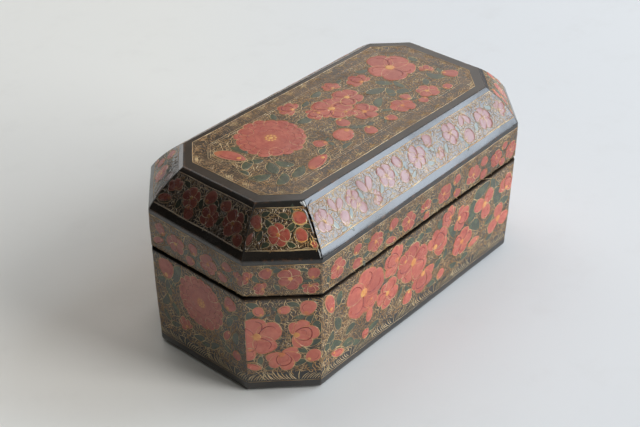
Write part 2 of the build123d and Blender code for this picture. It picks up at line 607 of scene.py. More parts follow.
# Where the black borders end on each kind of board, in mm up its face, and from the crest on the top
borders = {"wall": (5.0, 49.2), "rim": (0.3, 17.2), "slope": (3.4, 18.7), "top": 3.1}
footBand = 5.0  # the feather strokes of the foot band lie on plain black
seamDirtAndShade = (0.8, 2.2)  # mm from the parting line where the dirt and painted shade are full and where they end
farOff = 9.0  # mm, so far from a border, an edge or the seam that it doesn't show
hiddenCoat = (-farOff, farOff, 0.0)  # inner faces: no field, no worn edge, no seam dirt and shade


# How far a sloping board's end stands off its mitre where the old box has cracked open
def crackGap(part, name, v):
    if part != "slope" or name not in ("front", "front_left"):
        return 0 * v
    wander = 0.5 * np.sin(v * 0.55 + 0.4) + 0.3 * np.sin(v * 1.7 + 1.1)
    return settled["crackGap"] * np.interp(v, [0, 3, 14, 18, 21], [0.9, 1.15, 1.2, 0.9, 0.2]) * (1 + 0.35 * wander)


# How far the lid's lower edge stands off the base, by the way round the box from the back of the left end
def seamGap(station):
    gap = np.interp(station, settled["seamAt"], settled["seamGap"])
    return gap * (1 + 0.16 * math.sin(station * 0.31) + 0.10 * math.sin(station * 0.83 + 1))


def paintedBoard(part, name):
    side = sides[name]
    rows = profiles[part]
    half = side["half"]
    nearEnd = np.array([0, 0.1, 0.2, 0.32, 0.45, 0.6, 0.8, 1.2])  # closer stations, for the rounded corner
    count = max(4, int((2 * half - 2.4) / 1.6))
    ends = 1 - nearEnd / half
    stations = np.r_[-ends, np.linspace(-ends[-1], ends[-1], count + 1)[1:-1], ends[::-1]]
    thick = box["lidBoard"]
    shoulder = shoulderZ - thick * mitre
    inner = {
        "wall": [(box["wallBoard"], z) for z in np.linspace(box["baseHeight"], 0, 4)],
        "rim": [(thick, z) for z in (shoulder, shoulderZ - 10, box["baseHeight"])],
        "slope": [(box["slopeRise"] + thick * mitre, topZ - thick), (thick, shoulder)],
    }[part]
    low, high = borders[part]
    low += footBand if part == "wall" else 0.0
    v = rows[:, 0]
    verts, coat = [], []
    for f in stations:
        room = half - mitre * rows[:, 1]
        gap = crackGap(part, name, v) if (f > 0) == (name == "front_left") else 0 * v
        u = f * half if part != "slope" else f * room
        if part == "slope":
            u = np.clip(u, -room + gap, room - gap)
        outer = onFace(part, side, np.broadcast_to(u, v.shape), v, np.zeros_like(v), scaled=part != "slope")
        if part == "rim":
            outer[:, 2] += seamGap(side["start"] + half + f * half) * np.interp(v, [-0.4, 3.2], [1, 0])
        verts.append(outer)
        toMitre = (1 - abs(f)) * half
        edge = np.minimum(np.minimum(v - v[0], v[-1] - v), toMitre)
        border = np.minimum(v - low, high - v)
        if part == "slope":
            border = np.minimum(border, (room - np.abs(u)) - 0.2)
        toSeam = {"wall": v[-1] - v, "rim": v - v[0], "slope": farOff + 0 * v}[part]
        coat.append(np.c_[border, edge, np.interp(toSeam, seamDirtAndShade, [1, 0])])
        depth, z = np.array(inner).T
        place = side["middle"] - side["normal"] * depth[:, None]
        room = half - mitre * depth - 0.7 * gap.mean() * (abs(f) == 1)
        place = place + side["along"] * (f * room)[:, None]
        place[:, 2] += z
        verts.append(settle(place))
        coat.append(np.tile(hiddenCoat, (len(inner), 1)))
    ring = len(v) + len(inner)
    faces = []
    for j in range(len(stations) - 1):
        a, b = j * ring, (j + 1) * ring
        for i in range(ring):
            k = (i + 1) % ring
            faces.append((a + i, b + i, b + k, a + k))
    faces.append(tuple(range(ring)))
    last = (len(stations) - 1) * ring
    faces.append(tuple(last + i for i in reversed(range(ring))))
    piece = meshObject(f"painted_{part}_{name}", np.concatenate(verts) * mm, faces, paints["ground"])
    piece.data.materials.append(paints["crack"])
    for end in (-2, -1):
        piece.data.polygons[len(faces) + end].material_index = 1
    writeAttribute(piece.data, "coat", np.concatenate(coat))
    return piece


def octagonPoints(inset):
    x, y = box["length"] / 2 - inset, box["width"] / 2 - inset
    cut = box["cut"] - inset * (1 - mitre)
    corners = [(-x, y - cut), (-x, -y + cut), (-x + cut, -y), (x - cut, -y), (x, -y + cut), (x, y - cut)]
    corners += [(x - cut, y), (-x + cut, y)]
    points = []
    for a, b, steps in zip(corners, corners[1:] + corners[:1], (18, 10, 64, 10) * 2):
        a, b = np.array(a), np.array(b)
        points += [a + (b - a) * t for t in np.arange(steps) / steps]
    return np.array(points)


# The painted field of the top lies a little back of the middle, and is shorter than even borders would make
# it. Scrolls are looked for from reach inwards, and grow from open inwards, in mm from the crest
topField = {"shift": np.array([0.0, 0.8]), "scale": np.array([0.978, 1.0]), "reach": 3.5, "open": 10.9}


def fieldLoop(inset):
    return octagonPoints(inset) * topField["scale"] + topField["shift"]


def fieldInset(points):
    return insetOf((points - topField["shift"]) / topField["scale"]) - box["slopeRise"]


def paintedTop():
    run, ease = box["slopeRise"], box["crestEase"]
    rings = []
    for t in np.linspace(0.5, 1, 4):
        d, z = eased(crown(slopeLength - ease), (run, run), (run + ease, run), t)
        rings.append((d, shoulderZ + z))
    rings.append((run + 1.0, topZ))
    verts, faces, loops = [], [], []
    for inset, z in rings:
        loop = octagonPoints(inset)
        loops.append(range(len(verts), len(verts) + len(loop)))
        verts += [(x, y, z) for x, y in loop]
    n = len(loops[0])
    for a, b in zip(loops, loops[1:]):
        for i in range(n):
            k = (i + 1) % n
            faces.append((a[i], a[k], b[k], b[i]))
    edge = np.array([verts[i][:2] for i in loops[-1]])
    inner = []
    reachX, reachY, cut = box["length"] / 2 - run - 2.0, box["width"] / 2 - run - 2.0, box["cut"] - 8
    for x in np.arange(-reachX, reachX + 0.1, 1.8):
        for y in np.arange(-reachY, reachY + 0.1, 1.8):
            if abs(x) + abs(y) < reachX + reachY - cut:
                inner.append((x, y))
    flat = [Vector(p) for p in np.r_[edge, np.array(inner)]]
    rim = [(i, (i + 1) % n) for i in range(n)]
    made, _, tris, origins, _, _ = delaunay_2d_cdt(flat, rim, [], 1, 1e-4)
    place = {}
    for i, (p, source) in enumerate(zip(made, origins)):
        if source and source[0] < n:
            place[i] = loops[-1][source[0]]
        else:
            place[i] = len(verts)
            verts.append((p.x, p.y, topZ))
    faces += [tuple(place[i] for i in f) for f in tris]
    outer = np.array(verts)
    outer[:, 2] += swell(outer)
    below = octagonPoints(run + box["lidBoard"] * mitre)
    under = range(len(outer), len(outer) + n)
    for i in range(n):
        k = (i + 1) % n
        faces.append((loops[0][k], loops[0][i], under[i], under[k]))
    faces.append(tuple(reversed(under)))
    lower = np.c_[below, np.full(n, topZ - box["lidBoard"])]
    everything = settle(np.r_[outer, lower])
    inset = insetOf(everything) - run
    coat = np.c_[fieldInset(everything[:, :2]) - borders["top"], inset, np.zeros(len(inset))]
    coat[len(outer):] = hiddenCoat
    piece = meshObject("painted_top", everything * mm, faces, paints["ground"])
    writeAttribute(piece.data, "coat", coat)
    return piece


# How far points lie in from the plan's outline
def insetOf(points):
    gaps = [(s["middle"][:2] - points[:, :2]) @ s["normal"][:2] for s in sides.values()]
    return np.min(gaps, axis=0)


skins = []
for partName in ("wall", "rim", "slope"):
    for sideName in sideNames:
        skins.append(paintedBoard(partName, sideName))
        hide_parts(f"{partName}_{sideName}")
skins.append(paintedTop())
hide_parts("top_board")
for piece in skins:
    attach(piece, "base" if "wall" in piece.name else "lid")
print("boards made:", len(skins))
for name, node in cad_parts.items():
    if name.startswith("lip_") or name == "floor_board":
        for slot in node.material_slots:
            slot.material = paints["lip" if name.startswith("lip_") else "floor"]

# What is painted on each face, in mm along the face from its middle and up it from its lower edge.
# Each entry is (what, along, up, size, way it points in degrees), and the way is 0 along the face, 90 up it
painted = {
    "top": [
        ("medallion", -35.0, 8.7, 15.6, 0), ("lens", -57.0, 11.2, 7.4, -72), ("cup", -10.5, 17.7, 6.6, 120),
        ("open", 1.0, 6.0, 9.4, 40), ("cup", -5.0, 7.6, 6.2, 170), ("cup", 3.0, -0.2, 5.0, 290),
        ("open", 13.5, 7.6, 7.2, 20), ("cup", 29.0, 11.5, 7.0, 92), ("cup", 15.5, 17.4, 5.2, 70),
        ("open", 8.6, -6.2, 6.6, 200), ("bud", -12.5, -12.3, 5.4, 200), ("bud", -25.0, -9.8, 3.2, 150),
        ("lens", -36.5, -18.8, 6.8, 12), ("open", 23.6, -15.4, 6.0, 10), ("open", 41.6, -15.4, 5.4, 60),
        ("bud", -2.0, -18.3, 3.4, 240), ("bud", 12.0, -18.4, 2.8, 330), ("bud", 30.8, -11.8, 2.8, 80),
        ("open", 48.6, 11.0, 12.2, 15), ("cup", 57.5, -3.3, 4.4, 40), ("bud", 62.2, -13.3, 4.0, 300),
        ("bud", 34.0, -19.4, 2.6, 200), ("bud", -5.0, -5.4, 3.6, 250), ("bud", 51.0, -19.8, 2.6, 10),
        ("leaf", -51.2, 11.7, 8.0, 100), ("leaf", -57.4, 0.7, 7.0, 200), ("leaf", -52.6, 1.0, 6.4, 320),
        ("leaf", -60.4, -8.4, 9.0, 330), ("leaf", -52.4, -8.0, 8.6, 62), ("leaf", -46.4, -9.4, 7.6, 112),
        ("leaf", -56.0, -16.3, 8.6, 28), ("leaf", -47.4, -17.6, 9.4, 18), ("leaf", -14.0, 8.5, 8.4, 0),
        ("leaf", -3.5, 17.4, 5.4, 20), ("leaf", 6.2, 19.6, 6.6, 10), ("leaf", 26.5, 1.8, 9.6, 340),
        ("leaf", 34.6, 3.6, 8.0, 300), ("leaf", 19.4, -6.0, 8.4, 30), ("leaf", 29.6, -4.0, 8.0, 60),
        ("leaf", 34.4, -8.2, 7.4, 330), ("leaf", 38.4, -2.2, 7.0, 80), ("leaf", 56.0, -9.4, 8.6, 110),
        ("leaf", 48.0, -9.8, 6.0, 40), ("leaf", 16.0, -12.8, 5.0, 320), ("leaf", 22.0, 19.7, 5.0, 200),
        ("leaf", 37.0, 18.7, 6.0, 150), ("leaf", -21.0, 19.8, 5.0, 60), ("leaf", -18.5, -19.4, 6.0, 5),
        ("leaf", -29.0, -14.8, 5.0, 200), ("leaf", 62.0, 8.2, 6.0, 80), ("leaf", -62.5, -1.8, 5.0, 90),
    ],
    "wall_front": [
        ("lens", -63.2, 42.2, 6.0, 290), ("open", -41.3, 35.3, 12.6, 12), ("cup", -36.2, 29.5, 5.2, 280),
        ("drop", -37.0, 21.5, 3.9, 268), ("cup", -18.8, 39.9, 9.4, 160), ("open", -24.8, 25.1, 7.4, 50),
        ("open", -7.1, 31.9, 11.0, 25), ("cup", -12.8, 35.1, 6.0, 130), ("cup", 0.9, 22.1, 10.4, 262),
        ("cup", 8.1, 30.7, 10.4, 48), ("cup", 19.2, 42.0, 6.6, 150), ("cup", 25.1, 38.3, 8.0, 340),
        ("open", 29.7, 23.1, 7.2, 80), ("trefoil", 45.6, 35.4, 8.6, 45), ("trefoil", 58.8, 21.0, 8.6, 95),
        ("cup", 63.2, 35.5, 7.6, 80), ("bud", -9.9, 14.3, 3.8, 250), ("bud", 14.4, 13.3, 2.9, 30),
        ("lens", 39.7, 17.7, 4.6, 5), ("lens", -57.5, 13.1, 4.6, 155), ("bud", -39.2, 11.9, 2.6, 90),
        ("leaf", -57.2, 41.9, 7.0, 265), ("leaf", 12.5, 41.1, 8.6, 320), ("leaf", 20.8, 32.9, 8.6, 300),
        ("leaf", 11.1, 21.5, 7.0, 20), ("leaf", 35.4, 36.2, 12.0, 262), ("leaf", 38.6, 26.4, 10.6, 322),
        ("leaf", 55.6, 34.2, 12.0, 284), ("leaf", 42.0, 45.4, 12.0, 12), ("leaf", 62.6, 29.7, 8.0, 350),
        ("leaf", 53.0, 44.2, 9.0, 320), ("leaf", 24.2, 13.4, 6.0, 160), ("leaf", -3.0, 44.0, 6.0, 20),
        ("leaf", -24.0, 33.1, 6.6, 240), ("leaf", -19.8, 34.3, 5.0, 10), ("leaf", -50.9, 13.5, 8.2, 340),
        ("leaf", -44.9, 11.5, 6.4, 330), ("leaf", -33.7, 13.1, 7.0, 10), ("leaf", -10.9, 44.9, 6.6, 170),
        ("leaf", -63.0, 22.7, 9.0, 60), ("leaf", -58.9, 19.3, 8.0, 330), ("leaf", -58.0, 28.9, 7.6, 110),
        ("leaf", -28.1, 43.5, 5.6, 260), ("leaf", -15.9, 20.3, 6.0, 240), ("leaf", 16.6, 23.5, 5.6, 80),
        ("leaf", 50.8, 24.5, 7.0, 200), ("leaf", 32.6, 12.9, 6.0, 190), ("leaf", 53.0, 13.9, 6.0, 20),
        ("leaf", 2.1, 43.3, 5.6, 340), ("leaf", -49.4, 20.7, 6.6, 200), ("leaf", 7.3, 11.7, 6.0, 350),
    ],
    "wall_front_left": [
        ("open", -10.9, 29.6, 10.6, 18), ("cup", 4.5, 29.6, 9.2, 12), ("cup", -1.0, 20.2, 8.6, 290),
        ("bud", 9.9, 43.8, 4.0, 75), ("bud", 0.4, 43.0, 2.6, 10), ("bud", 12.3, 18.4, 3.8, 45),
        ("lens", -12.8, 13.6, 3.8, 160), ("bud", -14.4, 20.4, 3.4, 260), ("bud", -9.8, 42.6, 2.6, 120),
        ("leaf", -9.8, 16.6, 5.0, 80), ("leaf", 6.4, 22.4, 7.6, 325), ("leaf", 11.2, 37.8, 5.6, 70),
        ("leaf", 13.9, 33.4, 6.6, 280), ("leaf", 12.8, 25.4, 6.0, 30), ("leaf", -12.2, 45.4, 5.6, 150),
        ("leaf", -5.6, 12.8, 5.0, 200), ("leaf", 7.2, 14.6, 5.4, 30), ("leaf", -2.2, 38.4, 5.0, 100),
        ("leaf", 4.0, 45.6, 5.0, 160), ("leaf", -12.6, 40.8, 5.4, 40),
    ],
    "wall_left": [
        ("medallion", 1.4, 34.6, 13.0, 0), ("bud", -18.2, 42.8, 5.2, 85), ("bud", 18.2, 42.4, 3.8, 60),
        ("lens", 15.8, 25.2, 3.6, 60), ("cup", -8.4, 16.6, 5.0, 120), ("bud", 20.6, 17.0, 2.6, 250),
        ("leaf", 8.0, 14.6, 6.4, 40), ("leaf", -20.4, 17.4, 6.0, 120), ("leaf", 20.8, 26.0, 6.6, 80),
        ("leaf", -12.0, 42.6, 10.6, 64), ("leaf", 17.6, 33.6, 7.0, 250), ("leaf", -17.4, 33.2, 7.6, 100),
        ("leaf", -20.6, 26.0, 7.4, 60), ("leaf", -14.8, 23.0, 6.6, 300), ("leaf", -1.4, 15.0, 6.6, 200),
        ("leaf", 15.2, 18.4, 6.6, 330), ("leaf", 2.6, 13.4, 5.6, 20), ("leaf", 20.6, 37.4, 5.0, 30),
        ("leaf", -15.6, 14.4, 5.6, 20), ("leaf", 12.2, 21.0, 5.0, 120),
    ],
    "rim_front": [
        ("open", -58.6, 9.4, 4.9, 10), ("bud", -46.4, 12.2, 2.8, 60), ("bud", -46.4, 4.6, 3.2, 170),
        ("open", -34.6, 9.0, 5.2, 40), ("bud", -23, 11.8, 3.2, 40), ("lens", -24.4, 3.8, 4.0, 340),
        ("open", -12.4, 7.2, 5.0, 15), ("cup", -0.6, 7.6, 4.6, 85), ("bud", 0.2, 3.2, 2.5, 260),
        ("open", 12.4, 8.8, 5.0, 30), ("bud", 21.6, 11.8, 2.8, 30), ("bud", 22, 4.3, 2.6, 330),
        ("open", 34, 8.0, 5.0, 55), ("bud", 42, 11.4, 2.8, 150), ("bud", 42.2, 4.4, 2.8, 200),
        ("open", 51.6, 8.4, 4.6, 10), ("bud", 57.8, 12.2, 2.2, 30), ("bud", 56.6, 4.0, 2.4, 330),
        ("open", 63.4, 7.4, 4.4, 70),
        ("leaf", -52.2, 7.6, 4.4, 80), ("leaf", -41.0, 6.2, 4.6, 200), ("leaf", -40.6, 12.6, 4.4, 150),
        ("leaf", -28.8, 7.4, 4.6, 60), ("leaf", -18.4, 6.8, 4.4, 120), ("leaf", -6.6, 11.6, 4.2, 30),
        ("leaf", 6.0, 8.6, 4.4, 330), ("leaf", 17.6, 7.2, 4.2, 90), ("leaf", 28.4, 8.0, 4.4, 240),
        ("leaf", 46.8, 7.6, 4.0, 20), ("leaf", -64.4, 7.0, 4.0, 100), ("leaf", 38.4, 13.2, 4.0, 10),
    ],
    "rim_front_left": [
        ("open", 3.0, 10.0, 5.4, 60), ("bud", -6.6, 13.2, 2.9, 240), ("cup", -7.6, 5.0, 4.0, 170),
        ("cup", -13.6, 10.6, 4.0, 150), ("cup", 10.8, 6.2, 4.4, 280), ("bud", 12.2, 12.6, 3.0, 80),
        ("leaf", -10.2, 10.4, 4.2, 300), ("leaf", -2.0, 14.2, 4.0, 200), ("leaf", 7.4, 5.8, 3.8, 60),
        ("leaf", -2.4, 5.6, 3.8, 120), ("leaf", 8.4, 14.2, 3.6, 340),
    ],
    "rim_left": [
        ("open", -11, 9.4, 4.8, 30), ("open", 7.2, 8.2, 5.0, 10), ("lens", -21.2, 6.2, 3.8, 30),
        ("bud", -3.0, 4.8, 2.6, 200), ("bud", -1.0, 11.4, 2.8, 100), ("bud", 14.8, 5.6, 2.8, 330),
        ("bud", 17.4, 12.2, 2.8, 40), ("cup", 23.0, 9.0, 4.2, 30), ("bud", -19.6, 12.6, 3.0, 130),
        ("leaf", -5.6, 8.0, 4.4, 50), ("leaf", 1.8, 12.6, 4.0, 20), ("leaf", 12.0, 12.0, 4.2, 140),
        ("leaf", -16.0, 5.0, 4.4, 200), ("leaf", 19.4, 6.8, 3.8, 60), ("leaf", 2.0, 5.0, 3.6, 300),
    ],
    "slope_front": [
        ("open", -58.9, 10.8, 4.5, 60), ("heart", -49.6, 13.8, 3.9, 250), ("bud", -48.6, 7.8, 3.0, 70),
        ("open", -40.4, 12.2, 4.0, 30), ("heart", -31, 14.0, 4.4, 265), ("cup", -29.6, 8.0, 3.8, 320),
        ("open", -18.6, 12.4, 5.0, 60), ("bud", -9.6, 8.2, 3.0, 200), ("open", 1.6, 12.0, 5.2, 20),
        ("bud", 11.8, 15.4, 3.0, 60), ("cup", 14.2, 9.0, 3.6, 300), ("open", 26, 12.6, 4.8, 45),
        ("bud", 35.4, 7.4, 3.6, 10), ("heart", 37.6, 14.2, 3.8, 80), ("open", 48.6, 10.4, 5.4, 80),
        ("bud", -38.0, 7.6, 2.6, 300), ("bud", -9.8, 14.6, 2.8, 120), ("cup", 60.0, 9.6, 4.6, 20),
        ("leaf", -54.2, 7.6, 4.0, 110), ("leaf", -44.6, 8.0, 4.0, 60), ("leaf", -35.6, 12.0, 4.2, 100),
        ("leaf", -24.4, 9.6, 4.4, 50), ("leaf", -13.8, 11.8, 4.4, 300), ("leaf", -4.6, 7.2, 4.0, 20),
        ("leaf", 7.2, 7.0, 4.2, 340), ("leaf", 19.8, 8.2, 4.4, 60), ("leaf", 30.8, 12.6, 4.2, 110),
        ("leaf", 42.6, 8.6, 4.2, 240), ("leaf", 54.8, 13.4, 4.2, 150),
    ],
    "slope_front_left": [
        ("open", -1.2, 8.8, 4.4, 72), ("bud", -9.4, 13.6, 2.7, 110), ("lens", -12.2, 7.6, 2.6, 60),
        ("bud", 7.4, 14.6, 2.9, 330), ("bud", 7.8, 8.5, 2.7, 300), ("bud", 12.6, 5.2, 1.3, 320),
        ("leaf", -4.4, 12.8, 4.2, 130), ("leaf", 3.8, 11.6, 4.0, 40), ("leaf", 3.8, 5.4, 3.4, 340),
        ("leaf", -8.4, 8.6, 4.0, 60), ("leaf", 10.2, 11.2, 3.4, 350), ("leaf", 1.2, 15.4, 3.8, 160),
        ("leaf", -5.6, 16.4, 3.6, 20), ("leaf", -6.4, 5.2, 3.4, 200),
    ],
    "slope_left": [
        ("cup", -17.4, 12.0, 4.2, 110), ("lens", -20.4, 7.0, 3.6, 20), ("open", -8.2, 11.8, 4.4, 30),
        ("bud", -6.6, 6.2, 2.8, 300), ("bud", 0.4, 15.2, 3.0, 60), ("open", 3.4, 8.8, 4.4, 15),
        ("open", 15.2, 10.6, 5.2, 50), ("bud", 20.2, 6.0, 2.6, 340), ("bud", 8.8, 15.0, 2.6, 10),
        ("leaf", -13.0, 7.6, 4.2, 80), ("leaf", -2.4, 11.4, 4.0, 110), ("leaf", 9.4, 8.8, 4.2, 60),
        ("leaf", -13.2, 15.6, 4.0, 160), ("leaf", 20.0, 14.2, 3.8, 120), ("leaf", 3.6, 14.0, 3.6, 330),
    ],
}
# The faces that the photo doesn't show repeat these, turned about and shifted a little, as the painter would
repeated = {"back": "front", "right": "left", "front_right": "front_left", "back_left": "front_left",
            "back_right": "front_left"}
dice = random.Random(7)
for part in ("wall", "rim", "slope"):
    for far, near in repeated.items():
        turned = far in ("front_right", "back_left", "back")
        made = []
        for what, u, v, size, way in painted[f"{part}_{near}"]:
            shift = dice.uniform(-0.6, 0.6)
            limit = sides[far]["half"] - size * 0.9
            u, way = (-u, 180 - way) if turned else (u, way)
            if part != "slope" or abs(u) < limit:
                made.append((what, u + shift, v + dice.uniform(-0.4, 0.4), size * dice.uniform(0.92, 1.05),
                             way + dice.uniform(-14, 14)))
        painted[f"{part}_{far}"] = made


# Shapes are gathered here, flat, before they are laid on the box
petals, leaves, hearts = [], [], []
lines = {"gilt": [], "outline": [], "madder": [], "crack": [], "chip": [], "glint": []}
layer = {"curl": 0.012, "leaf": 0.022, "petal": 0.035, "step": 0.006}  # heights above the ground, mm


# Unit steps along a way given in degrees, and across it to its left
def stepsOf(degrees):
    a = math.radians(degrees)
    along = np.array([math.cos(a), math.sin(a)])
    return along, np.array([-along[1], along[0]])


def heading(degrees):
    return stepsOf(degrees)[0]


# A petal from its narrow base to its rounded tip
def petalOutline(base, way, length, width, count=18, skew=0.0):
    along, across = stepsOf(way)
    lump, amount = dice.uniform(0, 6), dice.uniform(0.01, 0.035)
    points = []
    for a in np.linspace(0, 2 * math.pi, count, endpoint=False):
        s = 0.5 - 0.5 * math.cos(a)
        w = math.copysign(abs(math.sin(a)) ** 0.85, math.sin(a)) * (0.66 + 0.34 * s)
        r = 1 + amount * math.sin(3 * a + lump)
        points.append(base + along * s * length * r + across * (w * width / 2 * r + skew * s * s * width))
    return np.array(points)


def leafOutline(base, way, length, width, bend=0.12, count=16):
    along, across = stepsOf(way)
    points = []
    for a in np.linspace(0, 2 * math.pi, count, endpoint=False):
        s = 0.5 - 0.5 * math.cos(a)
        w = math.sin(a) * (1 - 0.25 * s) * abs(math.sin(a)) ** 0.25
        points.append(base + along * s * length + across * (w * width / 2 + bend * length * math.sin(math.pi * s)))
    return np.array(points)


def arc(centre, radius, start, end, count=12, squash=1.0, way=0.0):
    along, across = stepsOf(way)
    angles = np.radians(np.linspace(start, end, count))
    rows = [along * radius * math.cos(a) + across * radius * squash * math.sin(a) for a in angles]
    return centre + np.array(rows)


# How much darker the flowers are painted on some boards, or lighter where it is below 0. Those of the front
# slope are all painted in a dusky tone, as painted shade under the bright reflection on its varnish
flowerToneShift = {"rim": 0.5, "wall_front_left": -1.2, "wall_left": 0.5, "top": 0.5}
frontSlopeShadeTone = 1.66


def addPetal(face, outline, base, height, tone=None, edge="outline", weight=0.12):
    if face.startswith("rim"):
        outline = np.c_[outline[:, 0], np.maximum(outline[:, 1], 1.6)]  # clear of the parting line
    tone = dice.random() if tone is None else tone
    tone += flowerToneShift.get(face, flowerToneShift.get(face.partition("_")[0], 0.0))
    # the front slope's flowers all take the painted shade tone
    tone = frontSlopeShadeTone if face == "slope_front" else min(max(tone, -1.0), 1.0)
    petals.append((face, outline, np.asarray(base), height, tone))
    if face in ("slope_front", "slope_front_left") and edge:
        edge, weight = "gilt", 0.11
    if edge:
        loop = np.r_[outline, outline[:1]]
        lines[edge].append((face, loop, weight * dice.uniform(0.7, 1.3), height + layer["step"]))


def addHeart(face, centre, radius, height):
    if face == "slope_front":  # five gold rays there
        for turn in range(0, 360, 72):
            ray = np.array([centre, centre + heading(turn + 20) * radius * 2.4])
            lines["gilt"].append((face, ray, 0.13, height + 0.02))
        return
    outline = arc(centre, radius, 0, 330, 11, dice.uniform(0.85, 1.0), dice.uniform(0, 180))
    hearts.append((face, outline, centre, height, 0.0))


def madderArc(face, points, height, weight=0.15):
    lines["madder"].append((face, points, weight, height + 0.012))


def drawOpen(face, centre, size, way):
    count = 5
    turns = [way + 360 / count * k + dice.uniform(-7, 7) for k in range(count)]
    order = list(range(count))
    dice.shuffle(order)
    for rank, k in enumerate(order):
        height = layer["petal"] + rank * layer["step"]
        reach = size * dice.uniform(0.90, 1.08)
        outline = petalOutline(centre, turns[k], reach, reach * 5.6 / count, skew=dice.uniform(-0.06, 0.06))
        addPetal(face, outline, centre, height)
        if size > 3.0:  # the fold drawn inside each petal
            flip = dice.choice([-1, 1])
            start = centre + heading(turns[k]) * size * 0.14
            fold = petalOutline(start, turns[k] + flip * 5, reach * 0.66, reach * 0.62, 20)
            madderArc(face, fold[1:11] if flip > 0 else fold[10:20], height, 0.22 if size > 6 else 0.09)
    addHeart(face, centre, size * 0.19, layer["petal"] + 6 * layer["step"])


# Turn, reach and width of a cup's petals, the outer ones first
cupPetals = ((84, 0.80, 0.72), (-84, 0.80, 0.72), (42, 0.98, 0.76), (-44, 0.96, 0.76), (0, 1.06, 0.84))


def drawCup(face, base, size, way):
    height = layer["petal"]
    for turn, reach, wide in cupPetals:
        turn += dice.uniform(-5, 5)
        reach *= size * dice.uniform(0.94, 1.06)
        addPetal(face, petalOutline(base, way + turn, reach, reach * wide), base, height)
        height += layer["step"]
    cup = petalOutline(base, way - 4, size * 0.78, size * 0.86, count=22)
    addPetal(face, cup, base, height, tone=0.6, edge=None)
    if size > 3.4:
        madderArc(face, cup[2:21], height, 0.24 if size > 6 else 0.09)
        small = petalOutline(base + heading(way) * size * 0.12, way + 8, size * 0.42, size * 0.40, count=18)
        madderArc(face, small[5:13], height, 0.10)
    addHeart(face, base + heading(way) * size * 0.10, size * 0.15, height + 2 * layer["step"])


def drawBud(face, centre, size, way):
    base = centre - heading(way) * size
    outline = petalOutline(base, way, size * 1.95, size * 2.0)
    addPetal(face, outline, base, layer["petal"] + layer["step"], weight=0.1)
    if size > 2.4:
        side = dice.choice([-1, 1])
        fold = arc(centre, size * 0.55, side * 20, side * 150, 10, 1.0, way)
        madderArc(face, fold, layer["petal"] + layer["step"], 0.09)
    if face != "slope_front_left":
        addHeart(face, base + heading(way) * size * 0.34, size * 0.22, layer["petal"] + 3 * layer["step"])
    under = arc(centre, size * 1.06, 125, 235, 12, 0.95, way)
    lines["gilt"].append((face, under, 0.15, layer["petal"] + 2 * layer["step"]))
    for side in (-1, 1):
        sprig = leafOutline(base, way + side * 118, size * 1.3, size * 0.6)
        leaves.append((face, sprig, base, layer["leaf"], 0.5))


def drawLens(face, centre, size, way):
    base = centre - heading(way) * size
    outline = leafOutline(base, way, size * 2, size * 1.02, bend=0.03, count=22)
    addPetal(face, outline, base, layer["petal"] + layer["step"], tone=0.3, edge="gilt")
    madderArc(face, arc(centre, size * 0.62, 200, 350, 12, 0.4, way), layer["petal"] + layer["step"])
    addHeart(face, centre + heading(way) * size * 0.55, size * 0.16, layer["petal"] + 3 * layer["step"])
    lines["gilt"].append((face, arc(centre, size * 1.06, 195, 345, 16, 0.56, way), 0.2, layer["petal"]))


def drawDrop(face, centre, size, way):
    base = centre - heading(way) * size
    addPetal(face, petalOutline(base, way, size * 2, size * 1.3, count=20), base, layer["petal"], tone=0.1)
    lines["gilt"].append((face, arc(base, size * 0.4, 0, 300, 8), 0.14, layer["petal"]))


def drawTrefoil(face, centre, size, way):
    for k, turn in enumerate((way, way + 115, way - 115)):
        outline = petalOutline(centre, turn, size, size * 1.02)
        addPetal(face, outline, centre, layer["petal"] + k * layer["step"], tone=0.3, edge="gilt")
    addHeart(face, centre, size * 0.22, layer["petal"] + 5 * layer["step"])


def drawHeartFlower(face, centre, size, way):
    base = centre + heading(way) * size * 0.7
    for side in (-1, 1):
        outline = petalOutline(base, way + 180 + side * 34, size * 1.5, size * 0.98)
        addPetal(face, outline, base, layer["petal"] + (1 + side) * layer["step"], tone=0.3, edge="gilt")
    addHeart(face, base, size * 0.2, layer["petal"] + 4 * layer["step"])


medallion = {"petals": 17, "rings": ((0.80, 17, 0.10), (0.60, 13, 0.09), (0.40, 9, 0.08)), "beads": 9}


def drawMedallion(face, centre, size, way):
    for k in range(medallion["petals"]):  # the scalloped rim
        turn = 360 / medallion["petals"] * k
        base = centre + heading(turn) * size * 0.52
        outline = petalOutline(base, turn, size * dice.uniform(0.44, 0.50), size * 0.46)
        addPetal(face, outline, centre, layer["petal"] + (k % 3) * layer["step"], tone=0.35, weight=0.10)
    height = layer["petal"] + 3 * layer["step"]
    addPetal(face, arc(centre, size * 0.86, 0, 350, 36), centre, height, tone=0.35, edge=None)
    for inner, count, weight in medallion["rings"]:
        for k in range(count):
            turn = 360 / count * (k + inner * 5) + dice.uniform(-4, 4)
            width = 2 * math.pi * size * inner / count
            start = centre + heading(turn) * size * (inner - 0.10)
            madderArc(face, arc(start, width * 0.56, -75, 80, 10, 1.0, turn), height, weight)
    for k in range(medallion["beads"]):
        bead = centre + heading(360 / medallion["beads"] * k) * size * 0.135
        addHeart(face, bead, size * 0.048, height + layer["step"])
    addHeart(face, centre, size * 0.08, height + 2 * layer["step"])
    lines["gilt"].append((face, arc(centre, size * 0.21, 0, 360, 31), 0.10, height))


